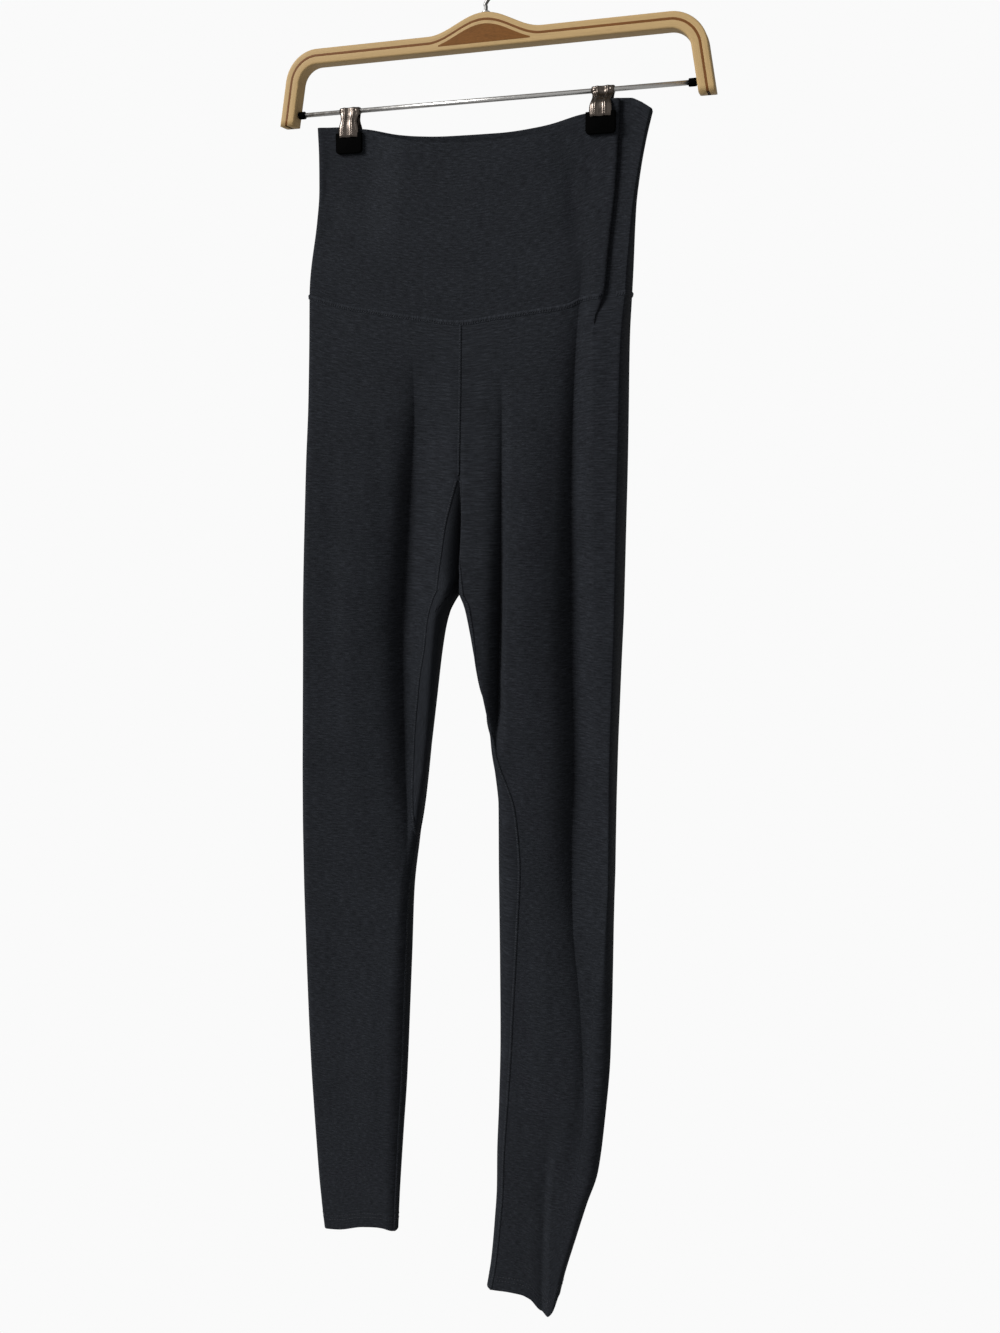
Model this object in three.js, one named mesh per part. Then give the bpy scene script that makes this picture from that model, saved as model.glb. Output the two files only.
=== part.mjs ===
import * as THREE from 'three';

// High-waist leggings hung by two clips from a bentwood trouser hanger.
// Millimetres, +Z up, +X to the right of the front view, the front faces -Y.
// The origin is the point of the hook's inner top that rests on a rail.

// Cloth sizes
const LEG_WALL = 1.2;
const BAND_WALL = 1.5;
const HEM_WALL = 2.1;
const HEM_DEPTH = 17;
const SEAM_GAP = 0.4;
const WELT_GAP = 0.7;
const WELT_HEIGHT = 0.8;
const MID_PLANE_GAP = 0.15;
const LEAST_REACH = 1.9;

// Heights that everything hangs from
const YOKE_Z = -341.5;
const CROTCH_Z = -591;
const GUSSET_TOP_Z = -483;
const CENTRE_CURVE_TOP_Z = -470;

// The hung outline: x of the outer and inner edge of each leg at a height. Above the crotch both
// inner edges are the centre seam.
const OUTLINE = [
  { z: -150, leftOuter: -172, leftInner: -18.5, rightInner: -18.5, rightOuter: 156 },
  { z: -180, leftOuter: -170.9, leftInner: -18.5, rightInner: -18.5, rightOuter: 149 },
  { z: -212, leftOuter: -170.8, leftInner: -18.5, rightInner: -18.5, rightOuter: 143.4 },
  { z: -240, leftOuter: -172.4, leftInner: -18.5, rightInner: -18.5, rightOuter: 139.8 },
  { z: -313, leftOuter: -179.2, leftInner: -18.5, rightInner: -18.5, rightOuter: 135.5 },
  { z: -355, leftOuter: -179.4, leftInner: -18, rightInner: -18, rightOuter: 133.5 },
  { z: -415, leftOuter: -180.4, leftInner: -17.5, rightInner: -17.5, rightOuter: 132.7 },
  { z: -473, leftOuter: -183, leftInner: -19, rightInner: -19, rightOuter: 131.6 },
  { z: -533, leftOuter: -185.1, leftInner: -21, rightInner: -21, rightOuter: 130.3 },
  { z: -591, leftOuter: -187, leftInner: -23.8, rightInner: -23.8, rightOuter: 129.2 },
  { z: -602, leftOuter: -187.4, leftInner: -31.2, rightInner: -18.7, rightOuter: 129 },
  { z: -613, leftOuter: -187.8, leftInner: -38, rightInner: -16.2, rightOuter: 128.8 },
  { z: -625, leftOuter: -188.2, leftInner: -41.8, rightInner: -13.6, rightOuter: 128.4 },
  { z: -661, leftOuter: -189.2, leftInner: -48, rightInner: -6.3, rightOuter: 127.2 },
  { z: -700, leftOuter: -190.3, leftInner: -52.8, rightInner: 3, rightOuter: 126 },
  { z: -737, leftOuter: -191.4, leftInner: -57.4, rightInner: 8.9, rightOuter: 124.9 },
  { z: -800, leftOuter: -193.2, leftInner: -65.6, rightInner: 13.7, rightOuter: 124 },
  { z: -850, leftOuter: -194, leftInner: -72.7, rightInner: 14.7, rightOuter: 123.8 },
  { z: -900, leftOuter: -194.2, leftInner: -77.8, rightInner: 15.4, rightOuter: 123.9 },
  { z: -960, leftOuter: -193.5, leftInner: -79.6, rightInner: 16, rightOuter: 124.2 },
  { z: -1030, leftOuter: -192.2, leftInner: -82.4, rightInner: 16.1, rightOuter: 123 },
  { z: -1096, leftOuter: -190.2, leftInner: -85.6, rightInner: 14.4, rightOuter: 118 },
  { z: -1148, leftOuter: -187.7, leftInner: -89.4, rightInner: 12.2, rightOuter: 111.8 },
  { z: -1182, leftOuter: -185.8, leftInner: -91.8, rightInner: 10.8, rightOuter: 101.4 },
  { z: -1220, leftOuter: -183.4, leftInner: -94.3, rightInner: 8.4, rightOuter: 90.6 },
  { z: -1260, leftOuter: -179.6, leftInner: -96.3, rightInner: 4.8, rightOuter: 79.6 },
  { z: -1300, leftOuter: -175, leftInner: -98, rightInner: -1.4, rightOuter: 71 },
];

// How far the front and back stand from the mid plane, and how wide the rounding is at each edge
const FULLNESS = [
  { z: -152, front: 10, back: 10, leftCorner: 15, rightCorner: 9, leftInside: 24, rightInside: 24 },
  { z: -240, front: 15, back: 14, leftCorner: 18, rightCorner: 10, leftInside: 24, rightInside: 24 },
  { z: -320, front: 19, back: 18, leftCorner: 22, rightCorner: 12, leftInside: 24, rightInside: 24 },
  { z: -400, front: 24, back: 23, leftCorner: 27, rightCorner: 20, leftInside: 24, rightInside: 24 },
  { z: -500, front: 28, back: 28, leftCorner: 30, rightCorner: 20, leftInside: 24, rightInside: 24 },
  { z: -591, front: 30, back: 29, leftCorner: 31, rightCorner: 20, leftInside: 24, rightInside: 24 },
  { z: -661, front: 28, back: 27, leftCorner: 31, rightCorner: 19, leftInside: 20, rightInside: 14 },
  { z: -700, front: 27, back: 26, leftCorner: 31, rightCorner: 18, leftInside: 16.5, rightInside: 9.5 },
  { z: -737, front: 26, back: 25, leftCorner: 31, rightCorner: 17, leftInside: 14, rightInside: 10 },
  { z: -795, front: 24, back: 23, leftCorner: 31, rightCorner: 16, leftInside: 10, rightInside: 23 },
  { z: -850, front: 22, back: 21, leftCorner: 30, rightCorner: 15, leftInside: 9, rightInside: 27 },
  { z: -900, front: 20, back: 19, leftCorner: 29, rightCorner: 15, leftInside: 13, rightInside: 25 },
  { z: -1000, front: 17, back: 16, leftCorner: 27, rightCorner: 15, leftInside: 20, rightInside: 21 },
  { z: -1100, front: 14, back: 13, leftCorner: 23, rightCorner: 14, leftInside: 20, rightInside: 18 },
  { z: -1182, front: 11, back: 10, leftCorner: 19, rightCorner: 11, leftInside: 16, rightInside: 15 },
  { z: -1300, front: 7, back: 7, leftCorner: 13, rightCorner: 6, leftInside: 12, rightInside: 11 },
];

// The lines that columns of the cloth follow: the main fold of the left leg, the two of the right
// leg, the ridge that grows out of the band's pleat, and half the width of that ridge
const FOLD_LINES = [
  { z: -152, leftFold: -72, rightFold: 17, thighFold: 93, ridge: 126.5, ridgeHalf: 10 },
  { z: -212, leftFold: -72, rightFold: 17, thighFold: 93, ridge: 124, ridgeHalf: 10 },
  { z: -271, leftFold: -72, rightFold: 17, thighFold: 93, ridge: 119.5, ridgeHalf: 10 },
  { z: -320, leftFold: -72, rightFold: 17, thighFold: 88, ridge: 115.5, ridgeHalf: 10 },
  { z: -350, leftFold: -72, rightFold: 17, thighFold: 84, ridge: 107.5, ridgeHalf: 9 },
  { z: -412, leftFold: -72, rightFold: 17, thighFold: 82.5, ridge: 103, ridgeHalf: 7 },
  { z: -487, leftFold: -75, rightFold: 17, thighFold: 83.5, ridge: 102.5, ridgeHalf: 6 },
  { z: -571, leftFold: -80, rightFold: 17, thighFold: 84, ridge: 102.5, ridgeHalf: 6 },
  { z: -640, leftFold: -82.5, rightFold: 16.8, thighFold: 84.5, ridge: 103, ridgeHalf: 5 },
  { z: -700, leftFold: -82.5, rightFold: 17.2, thighFold: 84.5, ridge: 103, ridgeHalf: 5 },
  { z: -740, leftFold: -82, rightFold: 23, thighFold: 84.8, ridge: 103, ridgeHalf: 5 },
  { z: -790, leftFold: -81, rightFold: 38, thighFold: 85, ridge: 103, ridgeHalf: 5 },
  { z: -850, leftFold: -86, rightFold: 44, thighFold: 84, ridge: 103, ridgeHalf: 5 },
  { z: -910, leftFold: -97, rightFold: 43, thighFold: 82.5, ridge: 103, ridgeHalf: 5 },
  { z: -1000, leftFold: -108, rightFold: 40, thighFold: 80, ridge: 102, ridgeHalf: 5 },
  { z: -1100, leftFold: -116, rightFold: 36, thighFold: 70, ridge: 96, ridgeHalf: 5 },
  { z: -1150, leftFold: -118, rightFold: 33, thighFold: 62.5, ridge: 89, ridgeHalf: 5 },
  { z: -1200, leftFold: -120, rightFold: 30, thighFold: 59.5, ridge: 78, ridgeHalf: 4 },
  { z: -1300, leftFold: -122, rightFold: 22, thighFold: 57.5, ridge: 63, ridgeHalf: 2 },
];

// Troughs and, where share is negative, ridges. A fold runs along x(z) of its line plus shift,
// its share of the fullness rises and falls down its length, and each flank has its own width.
const FOLDS = [
  {
    face: 'front', leg: 'left', line: 'leftFold', shift: 0, towardLeft: 13, towardRight: 6,
    share: [{ z: -365, at: 0 }, { z: -430, at: 0.3 }, { z: -570, at: 0.6 }, { z: -700, at: 0.6 },
      { z: -800, at: 0.45 }, { z: -920, at: 0 }],
  },
  {
    face: 'front', leg: 'right', line: 'rightFold', shift: 0, towardLeft: 6.5, towardRight: 6,
    share: [{ z: -390, at: 0 }, { z: -480, at: 0.3 }, { z: -590, at: 0.5 }, { z: -690, at: 0.5 },
      { z: -745, at: 0 }],
  },
  {
    face: 'front', leg: 'right', line: 'thighFold', shift: 0, towardLeft: 10, towardRight: 7,
    share: [{ z: -230, at: 0 }, { z: -300, at: 0.12 }, { z: -350, at: 0.25 }, { z: -450, at: 0.5 },
      { z: -600, at: 0.66 }, { z: -790, at: 0.66 }, { z: -880, at: 0.45 }, { z: -1000, at: 0.25 },
      { z: -1080, at: 0.12 }, { z: -1150, at: 0.2 }, { z: -1240, at: 0.45 }, { z: -1300, at: 0.5 }],
  },
  {
    face: 'front', leg: 'right', line: 'ridge', shift: 0, towardLeft: 9, towardRight: 13,
    share: [{ z: -330, at: 0 }, { z: -420, at: -0.2 }, { z: -800, at: -0.22 }, { z: -1050, at: 0 }],
  },
  {
    face: 'front', leg: 'left', line: 'leftInner', shift: -9, towardLeft: 11, towardRight: 10,
    share: [{ z: -440, at: 0 }, { z: -520, at: 0.16 }, { z: -570, at: 0.3 }, { z: -605, at: 0 }],
  },
  {
    face: 'back', leg: 'left', line: 'leftFold', shift: -4, towardLeft: 9, towardRight: 10,
    share: [{ z: -420, at: 0 }, { z: -540, at: 0.4 }, { z: -680, at: 0.5 }, { z: -760, at: 0 }],
  },
  {
    face: 'back', leg: 'left', line: 'leftFold', shift: -52, towardLeft: 14, towardRight: 10,
    share: [{ z: -560, at: 0 }, { z: -700, at: 0.3 }, { z: -860, at: 0 }],
  },
  {
    face: 'back', leg: 'right', line: 'rightFold', shift: 24, towardLeft: 12, towardRight: 9,
    share: [{ z: -380, at: 0 }, { z: -500, at: 0.4 }, { z: -640, at: 0.5 }, { z: -760, at: 0 }],
  },
  {
    face: 'back', leg: 'right', line: 'thighFold', shift: 4, towardLeft: 9, towardRight: 12,
    share: [{ z: -360, at: 0 }, { z: -520, at: 0.35 }, { z: -760, at: 0.5 }, { z: -1000, at: 0.3 },
      { z: -1150, at: 0.1 }, { z: -1300, at: 0.3 }],
  },
];

// How far the seams beside the gusset, and the inseams below it, lie from the inner edge, as a
// share of that edge's rounding; the rows of the cloth follow these heights
const LEFT_SEAM = [
  { z: -483, front: 0.05, back: 0.05 },
  { z: -505, front: 0.3, back: 0.14 },
  { z: -530, front: 0.55, back: 0.3 },
  { z: -555, front: 0.7, back: 0.42 },
  { z: -575, front: 0.8, back: 0.5 },
  { z: -591, front: 0.84, back: 0.52 },
  { z: -615, front: 0.58, back: 0.52 },
  { z: -645, front: 0.56, back: 0.5 },
  { z: -690, front: 0.74, back: 0.45 },
  { z: -740, front: 0.8, back: 0.36 },
  { z: -785, front: 0.64, back: 0.25 },
  { z: -812, front: 0.4, back: 0.15 },
  { z: -830, front: 0.16, back: 0.06 },
  { z: -842, front: 0, back: 0 },
];
const RIGHT_SEAM = [
  { z: -483, front: 0.05, back: 0.05 },
  { z: -500, front: 0.09, back: 0.14 },
  { z: -520, front: 0.12, back: 0.25 },
  { z: -540, front: 0.16, back: 0.35 },
  { z: -560, front: 0.24, back: 0.42 },
  { z: -576, front: 0.34, back: 0.47 },
  { z: -591, front: 0.42, back: 0.48 },
  { z: -610, front: 0.46, back: 0.46 },
  { z: -632, front: 0.46, back: 0.4 },
  { z: -654, front: 0.4, back: 0.32 },
  { z: -673, front: 0.3, back: 0.23 },
  { z: -685, front: 0.19, back: 0.14 },
  { z: -694, front: 0.07, back: 0.05 },
  { z: -700, front: 0, back: 0 },
];
const LEFT_INSEAM = [
  { z: -842, at: 0 }, { z: -900, at: 0.1 }, { z: -1300, at: 0.12 },
];
const RIGHT_INSEAM = [
  { z: -700, at: 0 }, { z: -709, at: 0.12 }, { z: -733, at: 0.7 }, { z: -790, at: 0.93 },
  { z: -850, at: 0.96 }, { z: -920, at: 0.9 }, { z: -1020, at: 0.75 }, { z: -1120, at: 0.6 },
  { z: -1300, at: 0.5 },
];

// Heights of the other rows of each leg, from the yoke seam to the gusset and on to the hem
const UPPER_ROWS = [YOKE_Z, -352, -368, -392, -425, -458];
const LEFT_LOWER_ROWS = [-890, -945, -1005, -1065, -1125, -1185, -1228, -1257];
const RIGHT_LOWER_ROWS = [
  -709, -720, -733, -752, -785, -830, -885, -945, -1010, -1075, -1135, -1185, -1235, -1275, -1290,
];

// How soon the slant of the yoke seam dies out down the leg, and where the hem's slant sets in
const YOKE_BLEND = 4.4;
const HEM_BLEND_START = 0.86;

// The edges of the cloth along x, front and back
const BAND_TOP = {
  front: [
    { x: -172, z: -151.2 }, { x: -150, z: -152 }, { x: -124, z: -155.5 }, { x: -92, z: -166.3 },
    { x: -55, z: -174.4 }, { x: -20, z: -177 }, { x: 15, z: -176.8 }, { x: 60, z: -173 },
    { x: 90, z: -164 }, { x: 104, z: -156.5 }, { x: 117, z: -147.6 }, { x: 132, z: -149.2 },
    { x: 156, z: -159 },
  ],
  back: [
    { x: -172, z: -151.2 }, { x: -150, z: -152.5 }, { x: -124, z: -155 }, { x: -90, z: -161.5 },
    { x: -40, z: -165.5 }, { x: 10, z: -166 }, { x: 60, z: -162 }, { x: 96, z: -156.5 },
    { x: 123, z: -154 }, { x: 156, z: -159 },
  ],
};
const YOKE_SEAM = {
  front: [
    { x: -179.2, z: -313 }, { x: -170, z: -315.2 }, { x: -129, z: -326 }, { x: -92, z: -332 },
    { x: -55, z: -337.6 }, { x: -18.5, z: -341.5 }, { x: 16, z: -337.4 }, { x: 50, z: -333 },
    { x: 82, z: -328.6 }, { x: 96, z: -322.5 }, { x: 135.5, z: -317 },
  ],
  back: [
    { x: -179.2, z: -313 }, { x: -100, z: -324 }, { x: -18.5, z: -331 }, { x: 70, z: -325 },
    { x: 135.5, z: -317 },
  ],
};
const HEM = {
  left: {
    front: [
      { x: -178, z: -1271.5 }, { x: -159, z: -1268 }, { x: -131, z: -1258 }, { x: -108, z: -1254 },
      { x: -96.3, z: -1257 },
    ],
    back: [{ x: -178, z: -1271.5 }, { x: -131, z: -1256 }, { x: -96.3, z: -1257 }],
  },
  right: {
    front: [
      { x: -0.2, z: -1290 }, { x: 10, z: -1289 }, { x: 25, z: -1287 }, { x: 37, z: -1286.5 },
      { x: 46, z: -1289 }, { x: 57, z: -1300 }, { x: 64, z: -1302 }, { x: 69.5, z: -1296 },
      { x: 74.5, z: -1281 },
    ],
    back: [{ x: -0.2, z: -1290 }, { x: 30, z: -1283 }, { x: 60, z: -1288 }, { x: 74.5, z: -1281 }],
  },
};

// The band's pleat, seen from above: from the front face round the fold, back behind it, and out
// again as the side strip. Across is along +X from the fold's line, behind is along +Y.
const PLEAT_DEPTH = 4.9;
const PLEAT_SHAPE = [
  { across: -10, behind: 0 }, { across: -2, behind: 0 }, { across: 0, behind: 1.9 },
  { across: -2, behind: 3.8 }, { across: -8.4, behind: 3.8 }, { across: -9, behind: 4.35 },
  { across: -8.4, behind: 4.9 }, { across: -1, behind: 4.9 }, { across: 10, behind: 4.9 },
];
const PLEAT_FADE = [
  { z: -316, at: 1 }, { z: -328, at: 0.7 }, { z: -350, at: 0.2 }, { z: -380, at: 0 },
];

// The two clips on the bar, and how flat they press the cloth: its front and back reach there
const CLIPS = [
  { name: 'clip_left', x: -137.2, front: 1.9, back: 1.9 },
  { name: 'clip_right', x: 110, front: 8.3, back: 1.9 },
];
const CLIP_HALF_WIDTH = 13.5;
const CLIP_GRIP_FULL = 18;
const CLIP_GRIP_END = 62;
const CLIP_GRIP_TOP_Z = -184;
const CLIP_GRIP_LOW_Z = -300;

// Hanger sizes
const HOOK_WIRE = 3.4;
const HOOK_INNER_RADIUS = 20;
const HOOK_SEGMENTS = 44;
const HOOK_ARC_POINTS = 14;
const HOOK_ARC_START = -0.22 * Math.PI;
const HOOK_ARC_SWEEP = 1.3 * Math.PI;
const HOOK_STEM = [{ x: 0, up: 0 }, { x: 0, up: 6 }, { x: 1.2, up: 11 }];
const COLLAR = [
  { out: 0.3, up: 0 }, { out: 2.2, up: 0 }, { out: 2.2, up: 1.4 }, { out: 1.2, up: 2.2 },
  { out: 0.3, up: 2.2 }, { out: 0.3, up: 0 },
];
const WOOD_DEPTH = 15;
const WOOD_BEVEL = 0.6;
const WOOD_TOP_Z = -77.8;
const WOOD_END_Z = -148;
const WOOD_HALF_WIDTH = 209.5;
const WOOD_CORNER = 34;
const WOOD_LEAN = 0.166;
const HUMP_HALF_WIDTH = 55;
const HUMP_RISE = 16.8;
const OUTER_PLY = 6.5;
const INNER_PLY = 7.8;
const HUMP_BRANCH = 3.5;
const GLUE_GAP = 0.3;
const INSERT_REACH = 46.5;
const INSERT_LOW_Z = -88.4;
const INSERT_END_GAP = 2.4;
const INSERT_RECESS = 0.6;
const BAR_Z = -137.7;
const BAR_DIAMETER = 4.4;
const PLUG_DIAMETER = 7.5;
const PLUG_LENGTH = 6.5;
const PLUG_END_GAP = 1;
const SPRING_SHOULDER_Z = -148.5;
const SPRING_LEAF_LOW_Z = -173;
const SPRING_NECK = { out: 1, down: 5 };
const SPRING_WIDTH = 20;
const SPRING_SHEET = 0.9;
const JAW_TOP_Z = -158.5;
const JAW_LOW_Z = -178;
const JAW_THICKNESS = 3.4;
const JAW_ROUND = 1.6;

// Finishes
const JERSEY = { color: 0x24262a, roughness: 0.92, metalness: 0 };
const WELT_JERSEY = { color: 0x2b2d31, roughness: 0.9, metalness: 0 };
const BEECH = { color: 0xd9b98c, roughness: 0.55, metalness: 0 };
const VENEER = { color: 0x8a5a2c, roughness: 0.5, metalness: 0 };
const STEEL = { color: 0xb9bcc0, roughness: 0.25, metalness: 1 };
const RUBBER = { color: 0x0b0b0b, roughness: 0.75, metalness: 0 };

const part = new THREE.Group();

function add(name, geometry, finish) {
  const mesh = new THREE.Mesh(geometry, new THREE.MeshStandardMaterial(finish));
  mesh.name = name;
  part.add(mesh);
  return mesh;
}

function mix(a, b, t) {
  return a + (b - a) * t;
}

function smooth(t) {
  const c = Math.min(Math.max(t, 0), 1);
  return c * c * (3 - 2 * c);
}

// A curve without overshoot through one column of a table, whose rows run along key
function along(rows, key, column, where) {
  const last = rows.length - 1;
  const way = Math.sign(rows[last][key] - rows[0][key]);
  if ((where - rows[0][key]) * way <= 0) return rows[0][column];
  if ((where - rows[last][key]) * way >= 0) return rows[last][column];
  let i = 0;
  while ((where - rows[i + 1][key]) * way > 0) i += 1;
  const slope = (k) => (rows[k + 1][column] - rows[k][column]) / (rows[k + 1][key] - rows[k][key]);
  const tangent = (k) => {
    if (k === 0) return slope(0);
    if (k === last) return slope(last - 1);
    const before = slope(k - 1);
    const after = slope(k);
    return before * after <= 0 ? 0 : (2 * before * after) / (before + after);
  };
  const span = rows[i + 1][key] - rows[i][key];
  const t = (where - rows[i][key]) / span;
  const start = rows[i][column] * (1 + 2 * t) * (1 - t) ** 2 + tangent(i) * span * t * (1 - t) ** 2;
  const end = rows[i + 1][column] * t * t * (3 - 2 * t) + tangent(i + 1) * span * t * t * (t - 1);
  return start + end;
}

const outline = (column, z) => along(OUTLINE, 'z', column, z);
const fullness = (column, z) => along(FULLNESS, 'z', column, z);
const foldLine = (column, z) => along(FOLD_LINES, 'z', column, z);
const LEAST_SPAN = 0.4;

// A quarter round: 0 at an edge, 1 from width inwards
function rounding(distance, width) {
  const t = Math.min(Math.max(distance / width, 0), 1);
  return Math.sqrt(1 - (1 - t) ** 2);
}

const LEGS = {
  left: {
    side: -1, outer: 'leftOuter', inner: 'leftInner', corner: 'leftCorner', inside: 'leftInside',
    lines: { front: ['leftFold'], back: ['leftFold'] }, seam: LEFT_SEAM, inseam: LEFT_INSEAM, hem: HEM.left,
    spans: { front: [5, 3, 6, 4], back: [4, 3, 5, 4] },
    rows: [...UPPER_ROWS, ...LEFT_SEAM.map((row) => row.z), ...LEFT_LOWER_ROWS],
  },
  right: {
    side: 1, outer: 'rightOuter', inner: 'rightInner', corner: 'rightCorner', inside: 'rightInside',
    lines: {
      front: ['rightFold', 'thighFold', 'ridgeStart', 'ridgeEnd'],
      back: ['rightFold', 'thighFold'],
    },
    seam: RIGHT_SEAM, inseam: RIGHT_INSEAM, hem: HEM.right,
    spans: { front: [4, 2, 4, 1, 7, 1, 3], back: [4, 2, 3, 3, 3] },
    rows: [...UPPER_ROWS, ...RIGHT_SEAM.map((row) => row.z), ...RIGHT_LOWER_ROWS],
  },
};

// The x of a named line at a height
function lineX(name, z) {
  if (name === 'ridgeStart') return foldLine('ridge', z) - foldLine('ridgeHalf', z);
  if (name === 'ridgeEnd') return foldLine('ridge', z) + foldLine('ridgeHalf', z);
  if (name === 'leftInner') return outline('leftInner', z);
  return foldLine(name, z);
}

function foldShare(fold, x, z) {
  const offset = x - lineX(fold.line, z) - fold.shift;
  const width = offset < 0 ? fold.towardLeft : fold.towardRight;
  return along(fold.share, 'z', 'at', z) * Math.exp(-((offset / width) ** 2));
}

function clipGrip(clip, x, z) {
  const across = 1 - smooth((Math.abs(x - clip.x) - CLIP_GRIP_FULL) / (CLIP_GRIP_END - CLIP_GRIP_FULL));
  const down = 1 - smooth((CLIP_GRIP_TOP_Z - z) / (CLIP_GRIP_TOP_Z - CLIP_GRIP_LOW_Z));
  return across * down;
}

const pleatFade = (z) => along(PLEAT_FADE, 'z', 'at', z);

// How far the outer skin stands from the mid plane at x and z
function reach(face, legName, x, z) {
  const leg = LEGS[legName];
  let depth = fullness(face, z);
  for (const fold of FOLDS) {
    if (fold.face === face && fold.leg === legName) depth *= 1 - foldShare(fold, x, z);
  }
  for (const clip of CLIPS) depth = mix(depth, clip[face], clipGrip(clip, x, z));
  if (face === 'front' && legName === 'right') {
    const half = foldLine('ridgeHalf', z);
    const step = smooth((x - foldLine('ridge', z) + half) / (2 * half));
    depth -= PLEAT_DEPTH * pleatFade(z) * step;
  }
  depth = Math.max(depth, LEAST_REACH);
  depth *= rounding(Math.abs(outline(leg.outer, z) - x), fullness(leg.corner, z));
  if (z < CENTRE_CURVE_TOP_Z) {
    const down = Math.min((CENTRE_CURVE_TOP_Z - z) / (CENTRE_CURVE_TOP_Z - CROTCH_Z), 1);
    const left = Math.sqrt(1 - down * down);
    const gap = Math.max((x - outline(leg.inner, z)) * leg.side, 0);
    depth *= left + (1 - left) * rounding(gap, fullness(leg.inside, z));
  }
  return depth;
}

// The edges and fold lines that columns follow on one face of a leg, from its inner to its outer edge
function stations(face, legName, z) {
  const leg = LEGS[legName];
  const inner = outline(leg.inner, z);
  const outer = outline(leg.outer, z);
  const innerEnd = inner + leg.side * fullness(leg.inside, z);
  const outerStart = outer - leg.side * fullness(leg.corner, z);
  const found = [inner, innerEnd, ...leg.lines[face].map((line) => lineX(line, z)), outerStart, outer];
  for (let i = 2; i < found.length - 1; i += 1) {
    const span = (found[i] - found[i - 1]) * leg.side;
    if (span < LEAST_SPAN) found[i] = found[i - 1] + leg.side * LEAST_SPAN;
  }
  return found;
}

// x at position s, 0 at the inner edge and 1 at the outer edge; the end spans are spaced as a round
function columnX(face, legName, s, z) {
  const found = stations(face, legName, z);
  const spans = found.length - 1;
  const at = Math.min(Math.max(s, 0), 1) * spans;
  const i = Math.min(Math.floor(at), spans - 1);
  const t = at - i;
  if (i === 0) return mix(found[0], found[1], 1 - Math.cos((t * Math.PI) / 2));
  if (i === spans - 1) return mix(found[i], found[i + 1], Math.sin((t * Math.PI) / 2));
  return mix(found[i], found[i + 1], t);
}

// Positions of the columns over one face, with its own number of steps in each span
function positions(counts) {
  const list = [0];
  counts.forEach((count, span) => {
    for (let k = 1; k <= count; k += 1) list.push((span + k / count) / counts.length);
  });
  return list;
}

// The pleat's own shape less the plain step that reach() already makes. It fills one span of the
// right leg's front columns, and the yoke seam's front welt ends a little way into it.
const PLEAT_SPAN = 4;
const PLEAT_HALF = 10;
const PLEAT_WELT_END = 0.133;
const PLEAT_CURVE = new THREE.CatmullRomCurve3(
  PLEAT_SHAPE.map((row) => new THREE.Vector3(row.across, row.behind, 0)),
  false,
  'catmullrom',
  0.5,
);
function pleatOffset(t, half) {
  const point = PLEAT_CURVE.getPoint(t);
  return {
    x: ((point.x - mix(-PLEAT_HALF, PLEAT_HALF, t)) * half) / PLEAT_HALF,
    y: point.y - PLEAT_DEPTH * smooth(t),
  };
}

function pleatPosition(s) {
  return s * LEGS.right.spans.front.length - PLEAT_SPAN;
}

// A point of the outer skin. Positions run 0 to 1 over the front, on to 2 over the back, and below
// the crotch past 2 on to the front again.
function skin(legName, position, x, z, face) {
  const y = reach(face, legName, x, z) * (face === 'front' ? -1 : 1);
  const point = new THREE.Vector3(x, y, z);
  const t = pleatPosition(position);
  if (face === 'front' && legName === 'right' && t > 0 && t < 1) {
    const offset = pleatOffset(t, foldLine('ridgeHalf', z));
    point.x += offset.x * pleatFade(z);
    point.y += offset.y * pleatFade(z);
  }
  return point;
}

// Passes that bring a point's x and z into line with the curved edges of its piece
const EDGE_PASSES = 4;
function legPoint(legName, position, rowZ) {
  const leg = LEGS[legName];
  const turn = position < 0 ? position + 2 : position;
  const face = turn > 1 && turn <= 2 ? 'back' : 'front';
  const s = turn > 2 ? turn - 2 : turn > 1 ? 2 - turn : turn;
  const hemRow = leg.rows[leg.rows.length - 1];
  const down = (rowZ - YOKE_Z) / (hemRow - YOKE_Z);
  const atTop = 1 - smooth(down * YOKE_BLEND);
  const atHem = smooth((down - HEM_BLEND_START) / (1 - HEM_BLEND_START));
  let z = rowZ;
  let x = 0;
  for (let pass = 0; pass < EDGE_PASSES; pass += 1) {
    x = columnX(face, legName, s, z);
    const topShift = along(YOKE_SEAM[face], 'x', 'z', x) - YOKE_Z - SEAM_GAP / 2;
    const lowShift = along(leg.hem[face], 'x', 'z', x) - hemRow;
    z = rowZ + topShift * atTop + lowShift * atHem;
  }
  return skin(legName, s, x, z, face);
}

// Unit normal out of a leg's cloth, from small steps over its own surface
const POSITION_STEP = 0.002;
const HEIGHT_STEP = 0.5;
function legNormal(legName, position, rowZ) {
  const back = position > 1 && position <= 2 ? -POSITION_STEP : 0;
  const across = legPoint(legName, position + POSITION_STEP + back, rowZ);
  across.sub(legPoint(legName, position + back, rowZ));
  const down = legPoint(legName, position, rowZ - HEIGHT_STEP);
  down.sub(legPoint(legName, position, rowZ + HEIGHT_STEP));
  return across.cross(down).normalize().multiplyScalar(-LEGS[legName].side);
}
function lifted(legName, position, rowZ, distance) {
  return legPoint(legName, position, rowZ).addScaledVector(legNormal(legName, position, rowZ), distance);
}

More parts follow.
